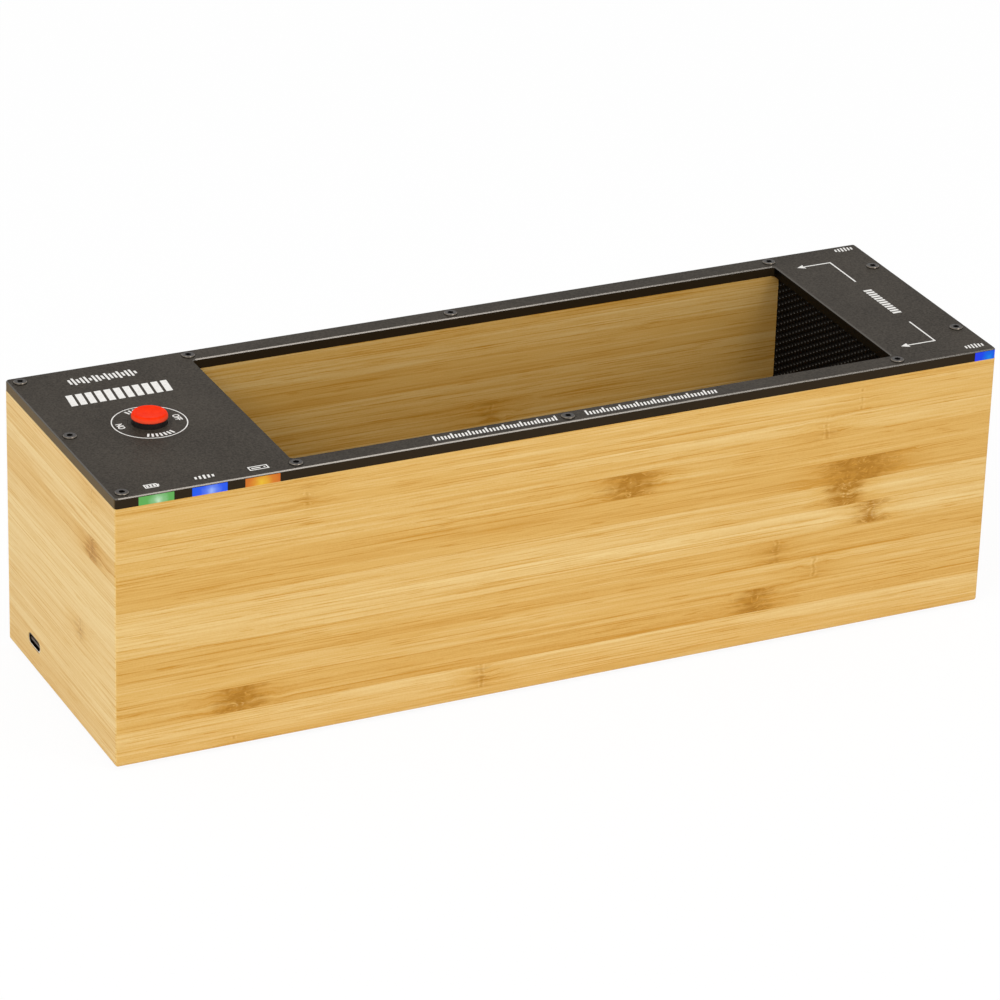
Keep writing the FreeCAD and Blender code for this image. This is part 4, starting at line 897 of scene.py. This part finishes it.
def makeFeet():
    # moulded rubber: nearly black, dull, slightly dusty
    rubber = grainyMaterial("blackMouldedRubber", "#121212", "#1F1F1F", 0.6, {"Roughness": 0.8}, 0.02)
    low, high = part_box("feet")
    radius, edge, height = rubberFoot["widthMm"] / 2, rubberFoot["edgeMm"], (high.z - low.z) / mm
    corner = edge * 0.3  # middle of the rounding
    profile = [(0, 0), (radius - edge, 0), (radius - corner, corner), (radius, edge)]
    profile += [(radius, height), (0, height)]
    bm = bmesh.new()
    spinProfile(bm, profile, rubberFoot["steps"])
    inset = radius * mm
    lefts, fronts = (low.x + inset, high.x - inset), (low.y + inset, high.y - inset)
    copyTo(bm, [Vector((x, y, low.z)) for x in lefts for y in fronts])
    addPiece("rubberFeet", bm, rubber, "case", ("feet",), 50)


makePad()
makeFeet()
print("pad and feet made")

# white print on the plate: plain marks, and ON and OFF beside the button. Places are in mm from the plate's
# front left corner, across and in; a row's "fill" is how much of its step a bar takes
ink = {
    "thickMm": 0.03,
    "sinkMm": 0.009,  # how far it reaches into the plate
    "soundMarks": {"middle": (25.55, 74.6), "size": (20.5, 4.6), "bars": 17, "fill": 0.55},
    "levelBars": {"middle": (25.9, 62.95), "size": (30.6, 7.1), "bars": 11, "fill": 0.7, "lean": 6},
    "ring": {"middle": (26.5, 42.0), "diameter": 21.0, "line": 0.31, "steps": 96},
    "strokes": {"radius": 8.5, "size": (0.6, 1.9), "each": 7, "apart": 8},
    "words": {"ON": ((18.3, 42.3), 90), "OFF": ((34.6, 42.3), -90)},
    "lettersMm": 2.0,
    "battery": {"middle": (11.9, 4.35), "size": (3.8, 2.2), "line": 0.36},
    "phone": {"middle": (42.6, 4.35), "size": (5.6, 2.3), "line": 0.36},
    "wave": {"middle": (27.1, 4.35), "size": (6.2, 2.3), "bars": 5},
    "cornerWaves": {"across": 262.9, "in": (3.8, 80.3), "size": (6.3, 2.8), "bars": 6},
    "rail": {"runs": ((93.9, 130.3), (139.8, 179.5)), "foot": 2.1, "step": 1.05, "width": 0.55, "lean": 8},
    "railHeights": (2.9, 2.0, 2.0, 2.0, 2.0),  # every fifth bar is tall
    "arrows": {"tip": 243.3, "corner": 254.3, "line": 0.48, "headLong": 2.3, "headWide": 2.6},
    "arrowRuns": ((72.9, 57.4), (11.25, 25.8)),  # where each arrow bends and ends, inwards
    "dashes": {"middle": (254.35, 41.7), "size": (2.7, 18.6), "bars": 12, "fill": 0.62},
}


def addBar(bm, centreMm, sizeMm, lean=0.0, turn=0.0):
    made = bmesh.ops.create_grid(bm, x_segments=1, y_segments=1, size=0.5 * mm)["verts"]
    bmesh.ops.scale(bm, verts=made, vec=(sizeMm[0], sizeMm[1], 1))
    for vert in made:
        vert.co.x += vert.co.y * math.tan(math.radians(lean))
    bmesh.ops.rotate(bm, verts=made, cent=(0, 0, 0), matrix=Matrix.Rotation(math.radians(turn), 3, "Z"))
    bmesh.ops.translate(bm, verts=made, vec=onPlate(*centreMm, ink["thickMm"]))


def addDot(bm, centreMm, widthMm, sides=16, stretch=(1, 1)):  # with 3 sides it points to the left
    made = bmesh.ops.create_circle(bm, cap_ends=True, segments=sides, radius=widthMm / 2 * mm)["verts"]
    bmesh.ops.rotate(bm, verts=made, cent=(0, 0, 0), matrix=Matrix.Rotation(math.pi / 2, 3, "Z"))
    bmesh.ops.scale(bm, verts=made, vec=(*stretch, 1))
    bmesh.ops.translate(bm, verts=made, vec=onPlate(*centreMm, ink["thickMm"]))


def addRow(bm, middleMm, sizeMm, heights, fill, lean=0.0):  # upright bars side by side
    step = sizeMm[0] / len(heights)
    for at, height in enumerate(heights):
        x = middleMm[0] - sizeMm[0] / 2 + step * (at + 0.5)
        addBar(bm, (x, middleMm[1]), (step * fill, sizeMm[1] * height), lean)


def addWave(bm, middleMm, sizeMm, bars):  # a small row, tallest in the middle
    addRow(bm, middleMm, sizeMm, [1 - abs(at - (bars - 1) / 2) / bars for at in range(bars)], 0.5, 8)


def addFrame(bm, centreMm, sizeMm, lineMm):  # the outline of a rectangle
    for side in (-1, 1):
        x = centreMm[0] + side * (sizeMm[0] - lineMm) / 2
        y = centreMm[1] + side * (sizeMm[1] - lineMm) / 2
        addBar(bm, (x, centreMm[1]), (lineMm, sizeMm[1] - 2 * lineMm))
        addBar(bm, (centreMm[0], y), (sizeMm[0], lineMm))


def addWord(bm, word, centreMm, heightMm, turn):
    font = bpy.data.curves.new(word, "FONT")
    font.body = word
    font.align_x, font.align_y = "CENTER", "CENTER"
    font.offset = 0.03  # heavier strokes
    holder = bpy.data.objects.new(word, font)
    bpy.context.scene.collection.objects.link(holder)
    letters = bpy.data.meshes.new_from_object(holder)
    size = heightMm * mm / 0.75  # a capital with its heavier stroke is 0.75 of the font's size
    narrow = 0.8
    place = Matrix.Translation(onPlate(*centreMm, ink["thickMm"]))
    spun = Matrix.Rotation(math.radians(turn), 4, "Z")
    letters.transform(place @ spun @ Matrix.Diagonal((size * narrow, size, 1, 1)))
    bm.from_mesh(letters)
    bpy.data.objects.remove(holder)
    bpy.data.meshes.remove(letters)


def finishInk(name, bm):  # gives the flat marks the thickness of the ink
    for face in bm.faces:
        if face.normal.z < 0:
            face.normal_flip()
    made = bmesh.ops.extrude_face_region(bm, geom=bm.faces[:], use_keep_orig=True)["geom"]
    bmesh.ops.translate(bm, verts=vertsOf(made), vec=(0, 0, -(ink["thickMm"] + ink["sinkMm"]) * mm))
    bmesh.ops.recalc_face_normals(bm, faces=bm.faces[:])
    addPiece(name, bm, whiteInk)


def printMarks():
    bm = bmesh.new()
    look = ink["soundMarks"]
    heights = [0.34 + 0.66 * abs(math.sin(at * 1.15 + 0.5)) for at in range(look["bars"])]
    addRow(bm, look["middle"], look["size"], heights, look["fill"])
    look = ink["levelBars"]
    addRow(bm, look["middle"], look["size"], [1.0] * look["bars"], look["fill"], look["lean"])
    finishInk("soundMarks", bm)


def printRing():
    bm = bmesh.new()
    look = ink["ring"]
    outer = look["diameter"] / 2
    verts = [bm.verts.new((radius * mm, 0, 0)) for radius in (outer - look["line"], outer)]
    geometry = verts + [bm.edges.new(verts)]
    bmesh.ops.spin(
        bm, geom=geometry, cent=(0, 0, 0), axis=(0, 0, 1), angle=math.tau, steps=look["steps"], use_merge=True
    )
    bmesh.ops.translate(bm, verts=bm.verts[:], vec=onPlate(*look["middle"], ink["thickMm"]))
    for word, (middle, turn) in ink["words"].items():
        addWord(bm, word, middle, ink["lettersMm"], turn)
    strokes = ink["strokes"]
    for start in (-90, 90):  # short strokes along the lower and the upper arc
        for at in range(strokes["each"]):
            turn = start + (at - strokes["each"] // 2) * strokes["apart"]
            x = look["middle"][0] + strokes["radius"] * math.cos(math.radians(turn))
            y = look["middle"][1] + strokes["radius"] * math.sin(math.radians(turn))
            addBar(bm, (x, y), strokes["size"], 0, turn - 90)
    finishInk("buttonRing", bm)


def printIcons():
    bm = bmesh.new()
    look = ink["battery"]
    x, y = look["middle"]
    addFrame(bm, (x, y), look["size"], look["line"])
    addBar(bm, (x + 2.1, y), (0.4, 1.0))  # its pole
    for at in (-1, 0, 1):  # its charge
        addBar(bm, (x + at, y), (0.6, 1.15))
    look = ink["wave"]
    addWave(bm, look["middle"], look["size"], look["bars"])
    look = ink["phone"]
    x, y = look["middle"]
    addFrame(bm, (x, y), look["size"], look["line"])
    addDot(bm, (x + 1.8, y), 0.6)  # its key
    addBar(bm, (x - 0.7, y), (2.6, 0.45))  # its screen
    look = ink["cornerWaves"]
    for inwards in look["in"]:
        addWave(bm, (look["across"], inwards), look["size"], look["bars"])
    finishInk("lightIcons", bm)


def printRail():
    bm = bmesh.new()
    look = ink["rail"]
    for left, right in look["runs"]:
        count = round((right - left) / look["step"])
        for at in range(count + 1):
            height = ink["railHeights"][at % len(ink["railHeights"])]
            x = left + at * (right - left) / count
            addBar(bm, (x, look["foot"] + height / 2), (look["width"], height), look["lean"])
    finishInk("railScale", bm)


def printArrows():  # they show where the phone goes in
    bm = bmesh.new()
    look = ink["arrows"]
    line, end = look["line"], look["corner"] + look["line"] / 2
    start = look["tip"] + look["headLong"] * 0.9
    width = look["headLong"] / 0.75  # a triangle is three quarters of its circle deep, and 0.866 of it wide
    for bendAt, endAt in ink["arrowRuns"]:
        side = 1 if endAt > bendAt else -1
        addBar(bm, ((start + end) / 2, bendAt), (end - start, line))
        upright = abs(endAt - bendAt) - line / 2
        addBar(bm, (look["corner"], endAt - side * upright / 2), (line, upright))
        addDot(bm, (look["tip"] + width / 2, bendAt), width, 3, (1, look["headWide"] / width / 0.866))
    look = ink["dashes"]
    step = look["size"][1] / look["bars"]
    for at in range(look["bars"]):
        y = look["middle"][1] - look["size"][1] / 2 + step * (at + 0.5)
        addBar(bm, (look["middle"][0], y), (look["size"][0], step * look["fill"]))
    finishInk("guideArrows", bm)


# screen-printed ink: white and matt, slightly uneven in cover
whiteInk = grainyMaterial("whiteScreenInk", "#E4E1DC", "#F6F4F0", 0.5, {"Roughness": 0.6, "IOR": 1.5}, 0.01)
printMarks()
printRing()
printIcons()
printRail()
printArrows()
print("print made")
